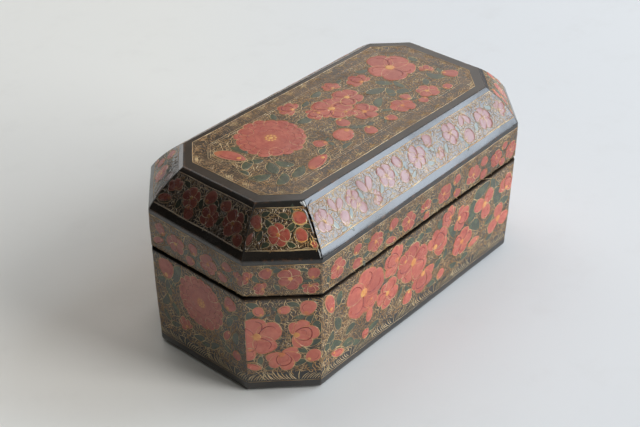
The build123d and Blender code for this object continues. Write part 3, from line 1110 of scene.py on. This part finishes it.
def drawLeaf(face, centre, size, way):
    size *= 1.12
    base = centre - heading(way) * size / 2
    bend = dice.uniform(-0.14, 0.14)
    outline = leafOutline(base, way, size, size * dice.uniform(0.50, 0.66), bend)
    leaves.append((face, outline, base, layer["leaf"], dice.random()))
    lines["gilt"].append((face, np.r_[outline, outline[:1]], 0.12, layer["leaf"] + 0.004))
    along, across = stepsOf(way)
    stalk = [base - along * size * s + across * bend * size * s * s * 4 for s in np.linspace(0, 0.5, 5)]
    lines["gilt"].append((face, np.array(stalk), 0.14, layer["leaf"] + 0.004))


drawers = {"open": drawOpen, "cup": drawCup, "bud": drawBud, "lens": drawLens, "drop": drawDrop,
           "trefoil": drawTrefoil, "heart": drawHeartFlower, "medallion": drawMedallion, "leaf": drawLeaf}
for face, items in painted.items():
    for what, u, v, size, way in items:
        drawers[what](face, np.array([u, v], float), size, way)
print("petals:", len(petals), "leaves:", len(leaves), "hearts:", len(hearts))


# Nothing painted on a wall or a rim reaches round its upright corners
def toFlat(face, points):
    u = points[:, 0]
    if face.startswith(("wall", "rim")):
        room = sides[face.split("_", 1)[1]]["half"] - 0.1
        u = np.clip(u, -room, room)
    x, y = flatPlace(face, u, points[:, 1])
    return np.c_[x, y]


def bodyOf(face):
    return "base" if face.startswith("wall") else "lid"


sunk = 0.04  # how far the paint's underside lies below the ground, mm


# Petals, leaves and hearts are thin lozenges of paint with a rounded edge and a very low dome
def lozenges(items, dome):
    verts, faces, bloom = [], [], []
    # scale, share of the height, share of the dome, and how far in from the edge
    rings = ((1.0, 0, 0, 0.0), (0.93, 1, 0, 0.12), (0.62, 1, 0.22 / 0.3, 0.55), (0.28, 1, 1, 1.0))
    for face, outline, base, height, tone in items:
        n, start = len(outline), len(verts)
        middle = outline.mean(0)
        far = max(np.linalg.norm(outline - base, axis=1).max(), 1e-6)
        for scale, lift, bulge, inward in rings:
            ring = middle + (outline - middle) * scale
            verts += [(x, y, height * lift + dome * bulge) for x, y in toFlat(face, ring)]
            away = np.linalg.norm(ring - base, axis=1) / far
            bloom += [(a, inward, tone) for a in away]
        top, under = len(verts), len(verts) + 1
        x, y = toFlat(face, middle[None])[0]
        verts += [(x, y, height + dome), (x, y, -sunk)]
        away = np.linalg.norm(middle - base) / far
        bloom += [(away, 1.0, tone), (away, 1.0, tone)]
        for level in range(len(rings) - 1):
            a, b = start + level * n, start + (level + 1) * n
            for i in range(n):
                k = (i + 1) % n
                faces.append((a + i, a + k, b + k, b + i))
        last = start + (len(rings) - 1) * n
        for i in range(n):
            k = (i + 1) % n
            faces.append((last + i, last + k, top))
            faces.append((start + k, start + i, under))
    return np.array(verts), faces, np.array(bloom)


# Cuts the flat paint of the walls and rims across each rounded upright corner, so that it bends round it
def foldAtCorners(mesh):
    work = bmesh.new()
    work.from_mesh(mesh)
    for name in sideNames:
        for off in (-0.62, -0.31, 0, 0.31, 0.62):
            x = (sides[name]["start"] + off) % girth
            near = []
            for face in work.faces:
                middle = face.calc_center_median()
                if middle.y < sheet["slope"] and abs(middle.x - x) < 8:
                    near += [*face.verts, *face.edges, face]
            if near:
                bmesh.ops.bisect_plane(work, geom=list(dict.fromkeys(near)), dist=1e-4,
                                       plane_co=(x, 0, 0), plane_no=(1, 0, 0))
    work.to_mesh(mesh)
    work.free()


# Bends a flat mesh onto the box and brings it to metres
def layOn(mesh):
    flat = np.empty(len(mesh.vertices) * 3, np.float32)
    mesh.vertices.foreach_get("co", flat)
    flat = flat.reshape(-1, 3).astype(float)
    mesh.vertices.foreach_set("co", (onBox(flat) * mm).astype(np.float32).ravel())
    mesh.update()


def paintPiece(name, body, items, material, dome):
    verts, faces, bloom = lozenges(items, dome)
    piece = meshObject(name, verts, faces, material, smooth=0)
    writeAttribute(piece.data, "bloom", bloom)
    foldAtCorners(piece.data)
    layOn(piece.data)
    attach(piece, body)
    return piece


for body in ("base", "lid"):
    for kind, items, dome in (("petal", petals, 0.02), ("leaf", leaves, 0.01), ("heart", hearts, 0.05)):
        mine = [item for item in items if bodyOf(item[0]) == body]
        made = paintPiece(f"{body}_{kind}_paint", body, mine, paints[kind], dome)
        print(made.name, "faces:", len(made.data.polygons))


# Geometry Nodes: what every tree starts and ends with
def newTree(name, inputs):
    tree = bpy.data.node_groups.new(name, "GeometryNodeTree")
    tree.interface.new_socket("Geometry", in_out="INPUT", socket_type="NodeSocketGeometry")
    for label, kind, value in inputs:
        socket = tree.interface.new_socket(label, in_out="INPUT", socket_type=kind)
        if value is not None:
            socket.default_value = value
    tree.interface.new_socket("Geometry", in_out="OUTPUT", socket_type="NodeSocketGeometry")
    return tree, tree.nodes.new("NodeGroupInput"), tree.nodes.new("NodeGroupOutput")


def endTree(tree, source, group, out):
    real = add(tree, "GeometryNodeRealizeInstances", {0: source})
    coat = {"Geometry": real.outputs[0], "Material": group.outputs["Material"]}
    link(tree, add(tree, "GeometryNodeSetMaterial", coat).outputs[0], out.inputs[0])


def named(tree, name):
    return add(tree, "GeometryNodeInputNamedAttribute", {"Name": name}, data_type="FLOAT").outputs["Attribute"]


def between(tree, low, high, group):
    values = {2: low, 3: high}
    if group is not None:
        values["Seed"] = group.outputs["Seed"]
    return add(tree, "FunctionNodeRandomValue", values, data_type="FLOAT").outputs[1]


# A flattened brush line swept along a curve
def sweepFlat(tree, curve, thick, flatness, corners):
    circle = add(tree, "GeometryNodeCurvePrimitiveCircle", {"Resolution": corners, "Radius": 1.0}, mode="RADIUS")
    size = add(tree, "ShaderNodeCombineXYZ", {"X": 1.0, "Y": flatness, "Z": 1.0})
    press = add(tree, "GeometryNodeTransform", {"Geometry": circle.outputs["Curve"], "Scale": size.outputs[0]})
    upright = add(tree, "GeometryNodeSetCurveNormal", {"Curve": curve}, mode="Z_UP")
    values = {"Curve": upright.outputs[0], "Scale": thick, "Profile Curve": press.outputs[0], "Fill Caps": True}
    return add(tree, "GeometryNodeCurveToMesh", values).outputs[0]


# A fine line of paint along every path it is given
def lineTree():
    inputs = [("Flatness", "NodeSocketFloat", 0.3), ("Material", "NodeSocketMaterial", None)]
    tree, group, out = newTree("paintLine", inputs)
    curve = add(tree, "GeometryNodeMeshToCurve", {0: group.outputs["Geometry"]})
    made = sweepFlat(tree, curve.outputs[0], named(tree, "thick"), group.outputs["Flatness"], 4)
    endTree(tree, made, group, out)
    return tree


# One stroke of the brush: a curl is a spiral, the others bend by a share of their length
bends = {"comma": 0.42, "dash": 0.12, "feather": 0.2}
curl = {"turns": 0.8, "from": 0.12, "to": 0.34}  # radii as shares of the stroke's length


def brushStroke(tree, group, shape):
    length, thick = group.outputs["Stroke Length"], group.outputs["Thickness"]
    if shape == "curl":
        radii = {"Start Radius": times(tree, length, curl["from"]), "End Radius": times(tree, length, curl["to"])}
        values = {"Resolution": 6, "Rotations": curl["turns"], "Height": 0.0, **radii}
        path = add(tree, "GeometryNodeCurveSpiral", values)
    else:
        values = {"Resolution": 4}
        for socket, x, y in (("Start", 0.0, 0.0), ("Middle", 0.5, bends[shape]), ("End", 1.0, 0.0)):
            x -= 0.5 if shape != "feather" else 0.0
            point = {"X": times(tree, length, x), "Y": times(tree, length, y)}
            values[socket] = add(tree, "ShaderNodeCombineXYZ", point).outputs[0]
        path = add(tree, "GeometryNodeCurveQuadraticBezier", values)
    along = add(tree, "GeometryNodeSplineParameter").outputs["Factor"]
    taper = mathNode(tree, "SINE", plus(tree, times(tree, along, 2.5), 0.45))
    return sweepFlat(tree, path.outputs[0], times(tree, taper, thick), group.outputs["Flatness"], 3)


strokeInputs = [
    ("Spacing", "NodeSocketFloat", 1.2),
    ("Stroke Length", "NodeSocketFloat", 2.2),
    ("Thickness", "NodeSocketFloat", 0.16),
    ("Flatness", "NodeSocketFloat", 0.3),
    ("Seed", "NodeSocketInt", 3),
    ("Material", "NodeSocketMaterial", None),
]


# Loose curls and commas of gold, scattered over the open ground between the flowers
def scatterTree():
    tree, group, out = newTree("goldScrolls", strokeInputs)
    points = add(tree, "GeometryNodeDistributePointsOnFaces", {
        "Mesh": group.outputs["Geometry"],
        "Distance Min": group.outputs["Spacing"],
        "Density Max": 10.0,
        "Density Factor": named(tree, "open"),
        "Seed": group.outputs["Seed"],
    }, distribute_method="POISSON")
    kinds = add(tree, "GeometryNodeGeometryToInstance")
    for shape in ("dash", "comma", "curl"):
        link(tree, brushStroke(tree, group, shape), kinds.inputs[0])
    which = add(tree, "FunctionNodeRandomValue", {4: 0, 5: 2, "Seed": group.outputs["Seed"]}, data_type="INT")
    anyWay = {0: (0, 0, 0), 1: (0, 0, 2 * math.pi)}
    place = add(tree, "GeometryNodeInstanceOnPoints", {
        "Pick Instance": True,
        "Points": points.outputs["Points"],
        "Instance": kinds.outputs[0],
        "Instance Index": which.outputs[2],
        "Rotation": add(tree, "FunctionNodeRandomValue", anyWay, data_type="FLOAT_VECTOR").outputs[0],
        "Scale": between(tree, 0.65, 1.25, None),
    })
    endTree(tree, place.outputs[0], group, out)
    return tree


# Rows of slanting feather strokes along the borders
def featherTree():
    more = (("Lean", 0.6), ("Group Size", 9.0), ("Upright", 1.0))
    inputs = strokeInputs + [(label, "NodeSocketFloat", value) for label, value in more]
    tree, group, out = newTree("featherBorder", inputs)
    curve = add(tree, "GeometryNodeMeshToCurve", {0: group.outputs["Geometry"]})
    spaced = {"Curve": curve.outputs[0], "Length": group.outputs["Spacing"]}
    points = add(tree, "GeometryNodeCurveToPoints", spaced, mode="LENGTH")
    index = add(tree, "GeometryNodeInputIndex").outputs[0]
    phase = times(tree, mathNode(tree, "DIVIDE", index, group.outputs["Group Size"]), 2 * math.pi)
    # one group leans one way and the next the other
    square = mathNode(tree, "TANH", times(tree, mathNode(tree, "SINE", phase), 9.0))
    swing = times(tree, square, group.outputs["Lean"])
    tangent = axes(tree, points.outputs["Tangent"])
    run = mathNode(tree, "ARCTAN2", tangent["Y"], tangent["X"])
    angle = plus(tree, run, swing, between(tree, -0.12, 0.12, group), group.outputs["Upright"])
    place = add(tree, "GeometryNodeInstanceOnPoints", {
        "Points": points.outputs["Points"],
        "Instance": brushStroke(tree, group, "feather"),
        "Rotation": add(tree, "ShaderNodeCombineXYZ", {"Z": angle}).outputs[0],
        "Scale": between(tree, 0.72, 1.12, None),
    })
    endTree(tree, place.outputs[0], group, out)
    return tree


trees = {"line": lineTree(), "scatter": scatterTree(), "feather": featherTree()}


# Runs a tree on a mesh and gives the plain mesh that comes out
def grow(mesh, tree, **values):
    source = bpy.data.objects.new("grown", mesh)
    bpy.context.scene.collection.objects.link(source)
    nodes = source.modifiers.new("nodes", "NODES")
    nodes.node_group = tree
    for item in tree.interface.items_tree:
        if item.item_type == "SOCKET" and item.in_out == "INPUT" and item.name in values:
            nodes[item.identifier] = values[item.name]
    bpy.context.view_layer.update()
    graph = bpy.context.evaluated_depsgraph_get()
    shown = source.evaluated_get(graph)
    made = bpy.data.meshes.new_from_object(shown, preserve_all_data_layers=True, depsgraph=graph)
    source.modifiers.remove(nodes)
    bpy.data.objects.remove(source)
    return made


# Lays a grown mesh on the box, as a piece of one body
def growPiece(name, body, mesh):
    piece = bpy.data.objects.new(name, mesh)
    bpy.context.scene.collection.objects.link(piece)
    layOn(mesh)
    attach(piece, body)
    print(name, "faces:", len(mesh.polygons))


def writeNumbers(mesh, name, values):
    made = mesh.attributes.new(name, "FLOAT", "POINT")
    made.data.foreach_set("value", np.array(values, np.float32))


# Paths laid out flat, each point knowing how thick its line is there
def pathMesh(paths):
    verts, edges, thick = [], [], []
    for face, points, weight, height in paths:
        start, count = len(verts), len(points)
        taper = 0.55 + 0.45 * np.sin(np.linspace(0.25, math.pi - 0.25, count))
        closed = np.allclose(points[0], points[-1])
        flat = toFlat(face, points)
        if closed:
            flat, count = flat[:-1], count - 1
        verts += [(x, y, height) for x, y in flat]
        thick += [weight if closed or count > 40 else weight * t for t in taper[:count]]
        edges += [(start + i, start + i + 1) for i in range(count - 1)]
        if closed:
            edges.append((start + count - 1, start))
    mesh = bpy.data.meshes.new("paths")
    mesh.from_pydata(verts, edges, [])
    writeNumbers(mesh, "thick", thick)
    return mesh


# More points along a path, none further than step apart
def closer(points, step):
    out = [points[0]]
    for a, b in zip(points, points[1:]):
        parts = max(1, int(math.ceil(np.linalg.norm(b - a) / step)))
        out += [a + (b - a) * (i + 1) / parts for i in range(parts)]
    return np.array(out)


# The long gold lines that frame each face, a little uneven as a brush leaves them
def wavering(points, seed, amount=0.1):
    s = np.arange(len(points))
    return points + amount * np.c_[np.sin(s * 0.31 + seed) * 0.3, np.sin(s * 0.23 + seed * 1.7)]


# Height and thickness of each line, and for the top how far in it lies from the crest
frames = {"wall": ((5.1, 0.12),), "rim": ((17.3, 0.26), (1.8, 0.10)), "slope": ((3.5, 0.26), (18.6, 0.2))}
topFrames = ((3.2, 0.20), (9.5, 0.09), (10.5, 0.09))
frameHeight = 0.03
for part, levels in frames.items():
    for name in sideNames:
        half = sides[name]["half"]
        for level, weight in levels:
            room = half if part != "slope" else half - mitre * level / math.sqrt(2) - 0.4
            row = closer(np.array([(-room, level), (room, level)]), 0.9)
            row = wavering(row, level + half) if part == "slope" else row
            lines["gilt"].append((f"{part}_{name}", row, weight, frameHeight))
for deeper, weight in topFrames:
    inset = box["slopeRise"] + deeper
    loop = fieldLoop(inset)
    loop = wavering(np.r_[loop, loop[:1]], inset)
    loop[-1] = loop[0]
    lines["gilt"].append(("top", loop, weight, frameHeight))

# Fine branches run from the upper end of the open hip, whose edge has lost its paint in places and carries a
# painted highlight
cracks = [
    ("slope_front", [(-62.7, 17.4), (-61.6, 18.6), (-60.2, 19.4), (-58.4, 19.7)], 0.20),
    ("slope_front_left", [(10.3, 17.9), (9.2, 17.6), (8.2, 16.9)], 0.13),
]
# pale marks: bare gesso where the paint has chipped, and along the near hip's edge a painted highlight
chips = [
    ("slope_front_left", [(10.6, 14.4), (10.1, 16.2), (9.5, 17.2), (8.9, 17.6)], 0.30),
    ("slope_front_left", [(12.4, 9.0), (12.0, 10.6), (11.4, 12.4), (10.8, 14.2)], 0.20),
    ("slope_front_left", [(9.8, 18.6), (9.3, 19.6), (8.9, 20.6)], 0.60),
    ("slope_front_left", [(8.7, 19.4), (8.0, 20.4)], 0.42),
    ("slope_front_left", [(14.9, 0.6), (14.5, 2.2), (14.1, 3.6)], 0.24),
    ("top", [(-10.0, -15.0), (-9.4, -15.3)], 0.26),
    ("top", [(-47.2, -11.6), (-46.7, -11.9)], 0.30),
]
# Painted highlights: glints of the window light on the gold, painted as bright strokes
glints = [
    ("slope_front_left", arc(np.array([7.4, 14.6]), 3.0, 200, 330, 14, 0.8), 0.17),
    ("slope_front_left", arc(np.array([7.8, 8.5]), 2.9, 190, 320, 14, 0.8), 0.17),
    ("slope_front_left", arc(np.array([-9.0, 12.2]), 1.5, 210, 400, 12, 1.2), 0.19),
    ("slope_front_left", [(10.9, 7.4), (11.6, 6.2), (11.0, 5.4), (12.2, 4.6)], 0.20),
    ("slope_front_left", [(11.8, 8.0), (12.4, 6.6), (12.9, 5.0)], 0.13),
    ("slope_front_left", [(4.6, 17.9), (6.6, 17.6), (8.4, 17.2)], 0.13),
    ("slope_front", [(-59.2, 11.4), (-58.5, 10.7), (-58.6, 9.6)], 0.28),
]
for kind, strokes in (("crack", cracks), ("chip", chips), ("glint", glints)):
    for face, points, weight in strokes:
        path = closer(np.array(points), 0.5)
        path = path + 0.07 * np.c_[np.sin(np.arange(len(path)) * 1.9), np.sin(np.arange(len(path)) * 1.3)]
        lines[kind].append((face, path, weight, 0.06))

for kind, paths in lines.items():
    for body in ("base", "lid"):
        mine = [path for path in paths if bodyOf(path[0]) == body]
        if not mine:
            continue
        made = grow(pathMesh(mine), trees["line"], Flatness=0.2, Material=paints[kind])
        growPiece(f"{body}_{kind}_lines", body, made)


def insideOf(points, outline):
    x, y = points.T
    inside = np.zeros(len(points), bool)
    for (ax, ay), (bx, by) in zip(outline, np.roll(outline, -1, axis=0)):
        crosses = (ay > y) != (by > y)
        inside ^= crosses & (x < (bx - ax) * (y - ay) / (by - ay + 1e-12) + ax)
    return inside


scrollsFrom = {"wall": 9.6, "rim": 1.9, "slope": 3.9}  # mm up each kind of face


# Open ground: 1 where gold scrolls may go, 0 under flowers and leaves and in the black borders
def fieldMesh(faceNames, margin):
    verts, faces, openness = [], [], []
    step = 0.8
    for face in faceNames:
        part, _, name = face.partition("_")
        if face == "top":
            x, y = (box[way] / 2 - box["slopeRise"] - topField["reach"] for way in ("length", "width"))
            us, vs = np.arange(-x, x, step), np.arange(-y, y, step)
        else:
            low, high = scrollsFrom[part], borders[part][1] - 0.4
            half = sides[name]["half"]
            us, vs = np.arange(-half, half + step, step), np.arange(low, high, step)
        u, v = np.meshgrid(us, vs)
        points = np.c_[u.ravel(), v.ravel()]
        free = np.ones(len(points))
        if face == "top":
            free *= fieldInset(points) > topField["open"]
        if part == "slope":
            free *= np.abs(points[:, 0]) < half - mitre * points[:, 1] / math.sqrt(2) - 0.7
        for blob in petals + leaves:
            if blob[0] != face:
                continue
            low, high = blob[1].min(0), blob[1].max(0)
            near = ((points > low) & (points < high)).all(1)
            if near.any():
                middle = blob[1].mean(0)
                free[near] *= ~insideOf(points[near], middle + (blob[1] - middle) * margin)
        start, wide = len(verts), len(us)
        flat = toFlat(face, points)
        verts += [(x, y, layer["curl"]) for x, y in flat]
        openness += list(free)
        for j in range(len(vs) - 1):
            for i in range(wide - 1):
                a = start + j * wide + i
                if free[[a - start, a - start + 1, a - start + wide, a - start + wide + 1]].any():
                    faces.append((a, a + 1, a + wide + 1, a + wide))
    mesh = bpy.data.meshes.new("field")
    mesh.from_pydata(verts, [], faces)
    writeNumbers(mesh, "open", openness)
    return mesh


scrolls = {
    "base": {"Spacing": 1.22, "Stroke Length": 2.5, "Thickness": 0.22, "Seed": 11},
    "lid": {"Spacing": 1.20, "Stroke Length": 2.3, "Thickness": 0.20, "Seed": 23},
}
for body, values in scrolls.items():
    field = fieldMesh([face for face in painted if bodyOf(face) == body], 0.95)
    made = grow(field, trees["scatter"], Flatness=0.12, Material=paints["gilt"], **values)
    growPiece(f"{body}_gold_scrolls", body, made)

# The rows of feather strokes. The height is in mm up the face, or in from the crest on the top
featherKeys = ("Stroke Length", "Spacing", "Thickness", "Lean", "Group Size", "Upright")
feathers = [
    {"part": "wall", "height": 5.7, "stroke": (5.0, 1.12, 0.24, 0.66, 26.0, 1.5)},
    {"part": "rim", "height": 1.7, "stroke": (2.2, 0.80, 0.17, 0.5, 7.0, 1.5)},
    {"part": "rim", "height": 16.9, "stroke": (2.4, 0.80, 0.17, 0.5, 7.0, -1.5)},
    {"part": "slope", "height": 18.3, "stroke": (2.4, 0.85, 0.17, 0.6, 5.0, -1.5)},
    {"part": "top", "height": 3.7, "stroke": (5.0, 0.90, 0.15, 1.0, 10.0, 1.35)},
]
for number, row in enumerate(feathers):
    part, level, paths = row["part"], row["height"], []
    if part == "top":
        loop = fieldLoop(box["slopeRise"] + level)
        paths.append(("top", np.r_[loop, loop[:1]], 1.0, layer["curl"]))
    else:
        for name in sideNames:
            room = sides[name]["half"] - (mitre * level / math.sqrt(2) + 1.4 if part == "slope" else 0.3)
            path = closer(np.array([(-room, level), (room, level)]), 2.0)
            paths.append((f"{part}_{name}", path, 1.0, layer["curl"]))
    values = dict(zip(featherKeys, row["stroke"]), Flatness=0.14, Seed=number + 5)
    values["Material"] = paints["feather" if part == "wall" else "gilt"]
    body = "base" if part == "wall" else "lid"
    made = grow(pathMesh(paths), trees["feather"], **values)
    growPiece(f"{body}_feather_border_{number}", body, made)

# The table, and the window whose light falls across the box. Distances are in metres
studio = {
    "table": srgb(224, 226, 228),
    # painted light: the table's warmer colour toward the left and back
    "tableWarmLight": srgb(232, 231, 226),
    "tableDust": srgb(190, 186, 180),
    "farTableShade": srgb(122, 124, 126),  # painted shade, darker with distance, that keeps the table under the lamps from burning out
    "farFrom": (0.42, 2.4),
    "hazeFrom": (0.55, 1.5),  # where the camera sees the table pass into the pale room, past what the photo frames
    "tableReach": 6.0,
    "windowDirection": (0.683, -0.544, 0.488),
    "windowDistance": 2.21,
    "windowSize": (0.67, 2.12),
    "windowTurn": -33.4,
    "windowRadiance": 6.2,
    "windowColour": (0.84, 0.96, 1.10),
}
# The photo's own camera: angles in degrees, lengths in mm. The photo is 640 pixels wide
camera = {
    "azimuth": -49.415,
    "elevation": 33.772,
    "roll": 0.06,
    "distance": 569.1,
    "target": (-20.1, -5.67, 45.0),
    "focal": 1306.3 / 640 * 36,
}


def areaLight(name, direction, distance, size, radiance, colour, turn=0.0):
    lamp = bpy.data.lights.new(name, "AREA")
    lamp.shape = "RECTANGLE"
    lamp.size, lamp.size_y = size
    lamp.energy = radiance * math.pi * size[0] * size[1]
    lamp.color = colour
    piece = bpy.data.objects.new(name, lamp)
    way = Vector(direction).normalized()
    piece.location = Vector((0, 0, 0.04)) + way * distance
    piece.rotation_mode = "QUATERNION"
    piece.rotation_quaternion = way.to_track_quat("Z", "Y") @ Quaternion((0, 0, 1), math.radians(turn))
    piece.visible_camera = False
    bpy.context.scene.collection.objects.link(piece)
    return piece


def makeStage():
    material, tree, shader, coords = startMaterial("paleTableTop")
    soft = noise(tree, coords, 2.2, 3.0, 0.5)
    marks = noise(tree, coords, 30.0, 5.0, 0.7)
    x, y, _ = axes(tree, coords)
    # painted light: the table is warmer and a little brighter toward the left and back, cooler toward the right
    # and front
    rightward = ramp(tree, less(tree, x, y), 0.16, -0.20)
    warmLightShare = mathNode(tree, "ADD", rightward, times(tree, soft, 0.2), clamp=True)
    colour = mixColour(tree, warmLightShare, studio["table"], studio["tableWarmLight"])
    colour = mixColour(tree, times(tree, ramp(tree, marks, 0.5, 0.8), 0.10), colour, studio["tableDust"])
    reach = add(tree, "ShaderNodeVectorMath", {0: coords}, operation="LENGTH").outputs["Value"]
    far = mathNode(tree, "POWER", ramp(tree, reach, *studio["farFrom"]), 0.6)
    # painted shade on the table far from the box
    link(tree, mixColour(tree, far, colour, studio["farTableShade"]), shader.inputs["Base Color"])
    shader.inputs["Roughness"].default_value = 0.8
    shader.inputs["Specular IOR Level"].default_value = 0.2
    haze = add(tree, "ShaderNodeEmission", {"Color": room["seen"]}).outputs["Emission"]
    seen = add(tree, "ShaderNodeLightPath").outputs["Is Camera Ray"]
    share = times(tree, seen, ramp(tree, reach, *studio["hazeFrom"]))
    blend = add(tree, "ShaderNodeMixShader", {"Fac": share, 1: shader.outputs["BSDF"], 2: haze})
    link(tree, blend.outputs["Shader"], tree.nodes["Material Output"].inputs["Surface"])
    size = studio["tableReach"]
    verts = [(-size, -size, 0), (size, -size, 0), (size, size, 0), (-size, size, 0)]
    floor = meshObject("tableTop", verts, [(0, 1, 2, 3)], material, smooth=0)


def makeCamera():
    az, el, roll = (math.radians(camera[k]) for k in ("azimuth", "elevation", "roll"))
    back = Vector((math.sin(az) * math.cos(el), -math.cos(az) * math.cos(el), math.sin(el)))
    right = (-back).cross(Vector((0, 0, 1))).normalized()
    up = right.cross(-back)
    across = right * math.cos(roll) + up * math.sin(roll)
    over = up * math.cos(roll) - right * math.sin(roll)
    data = bpy.data.cameras.new("photoCamera")
    data.sensor_width, data.lens = 36.0, camera["focal"]
    data.clip_start, data.clip_end = 0.01, 50.0
    piece = bpy.data.objects.new("photoCamera", data)
    turn = Matrix((across, over, back)).transposed().to_4x4()
    place = (Vector(camera["target"]) + back * camera["distance"]) * mm
    piece.matrix_world = Matrix.Translation(place) @ turn
    bpy.context.scene.collection.objects.link(piece)
    bpy.context.scene.camera = piece


# The room: an even dim light, brighter toward a few directions that the lacquer mirrors. Each of those has
# its direction, how sharply it falls off, and its radiance
room = {
    "seen": srgb(214, 217, 220),  # what the camera sees of it past the table's edge
    "even": (0.015, 0.014, 0.012),
    "right": ((0.95, -0.2, 0.1), 3.0, (0.52, 0.53, 0.56)),
    "beyond": ((0.63, 0.53, 0.57), 9.0, (0.27, 0.19, 0.12)),
    "ceiling": ((-0.15, -0.30, 0.93), 3.0, (0.13, 0.13, 0.12)),
}


def makeWorld():
    world = bpy.data.worlds.new("paleRoom")
    bpy.context.scene.world = world
    world.use_nodes = True
    tree = world.node_tree
    background = tree.nodes["Background"]
    coords = add(tree, "ShaderNodeTexCoord").outputs["Generated"]
    colour = room["even"]
    for name in ("right", "beyond", "ceiling"):
        direction, sharpness, radiance = room[name]
        way = tuple(Vector(direction).normalized())
        toward = add(tree, "ShaderNodeVectorMath", {0: coords, 1: way}, operation="DOT_PRODUCT")
        off = less(tree, toward.outputs["Value"], 1.0)
        share = mathNode(tree, "EXPONENT", times(tree, off, sharpness))
        glow = mixColour(tree, share, (0.0, 0.0, 0.0), radiance)
        colour = mixColour(tree, 1.0, colour, glow, blend="ADD")
    seen = add(tree, "ShaderNodeLightPath").outputs["Is Camera Ray"]
    link(tree, mixColour(tree, seen, colour, room["seen"]), background.inputs["Color"])
    background.inputs["Strength"].default_value = 1.0


# Direction, distance, size, radiance and colour of each lamp
lamps = {
    "highFront": ((0.30, -0.75, 0.60), 3.6, (1.2, 1.2), 7.7, (1.0, 1.0, 1.0)),
    "lowFront": ((0.35, -0.90, 0.30), 3.6, (1.6, 1.0), 12.2, (0.98, 1.0, 1.0)),
    "sideFill": ((0.85, 0.25, 0.5), 2.4, (2.0, 1.6), 0.69, (1.0, 1.0, 1.0)),
    "overheadFill": ((0.1, 0.5, 0.85), 2.4, (1.6, 1.6), 1.54, (1.0, 1.0, 1.0)),
    "backFill": ((0.05, 0.95, 0.22), 2.4, (1.4, 0.8), 1.6, (1.0, 1.0, 1.0)),
}
makeStage()
makeCamera()
makeWorld()
areaLight("windowLight", studio["windowDirection"], studio["windowDistance"], studio["windowSize"],
          studio["windowRadiance"], studio["windowColour"], studio["windowTurn"])
for name, (direction, distance, size, radiance, colour) in lamps.items():
    areaLight(name, direction, distance, size, radiance, colour)
bpy.context.scene.view_settings.view_transform = "Standard"
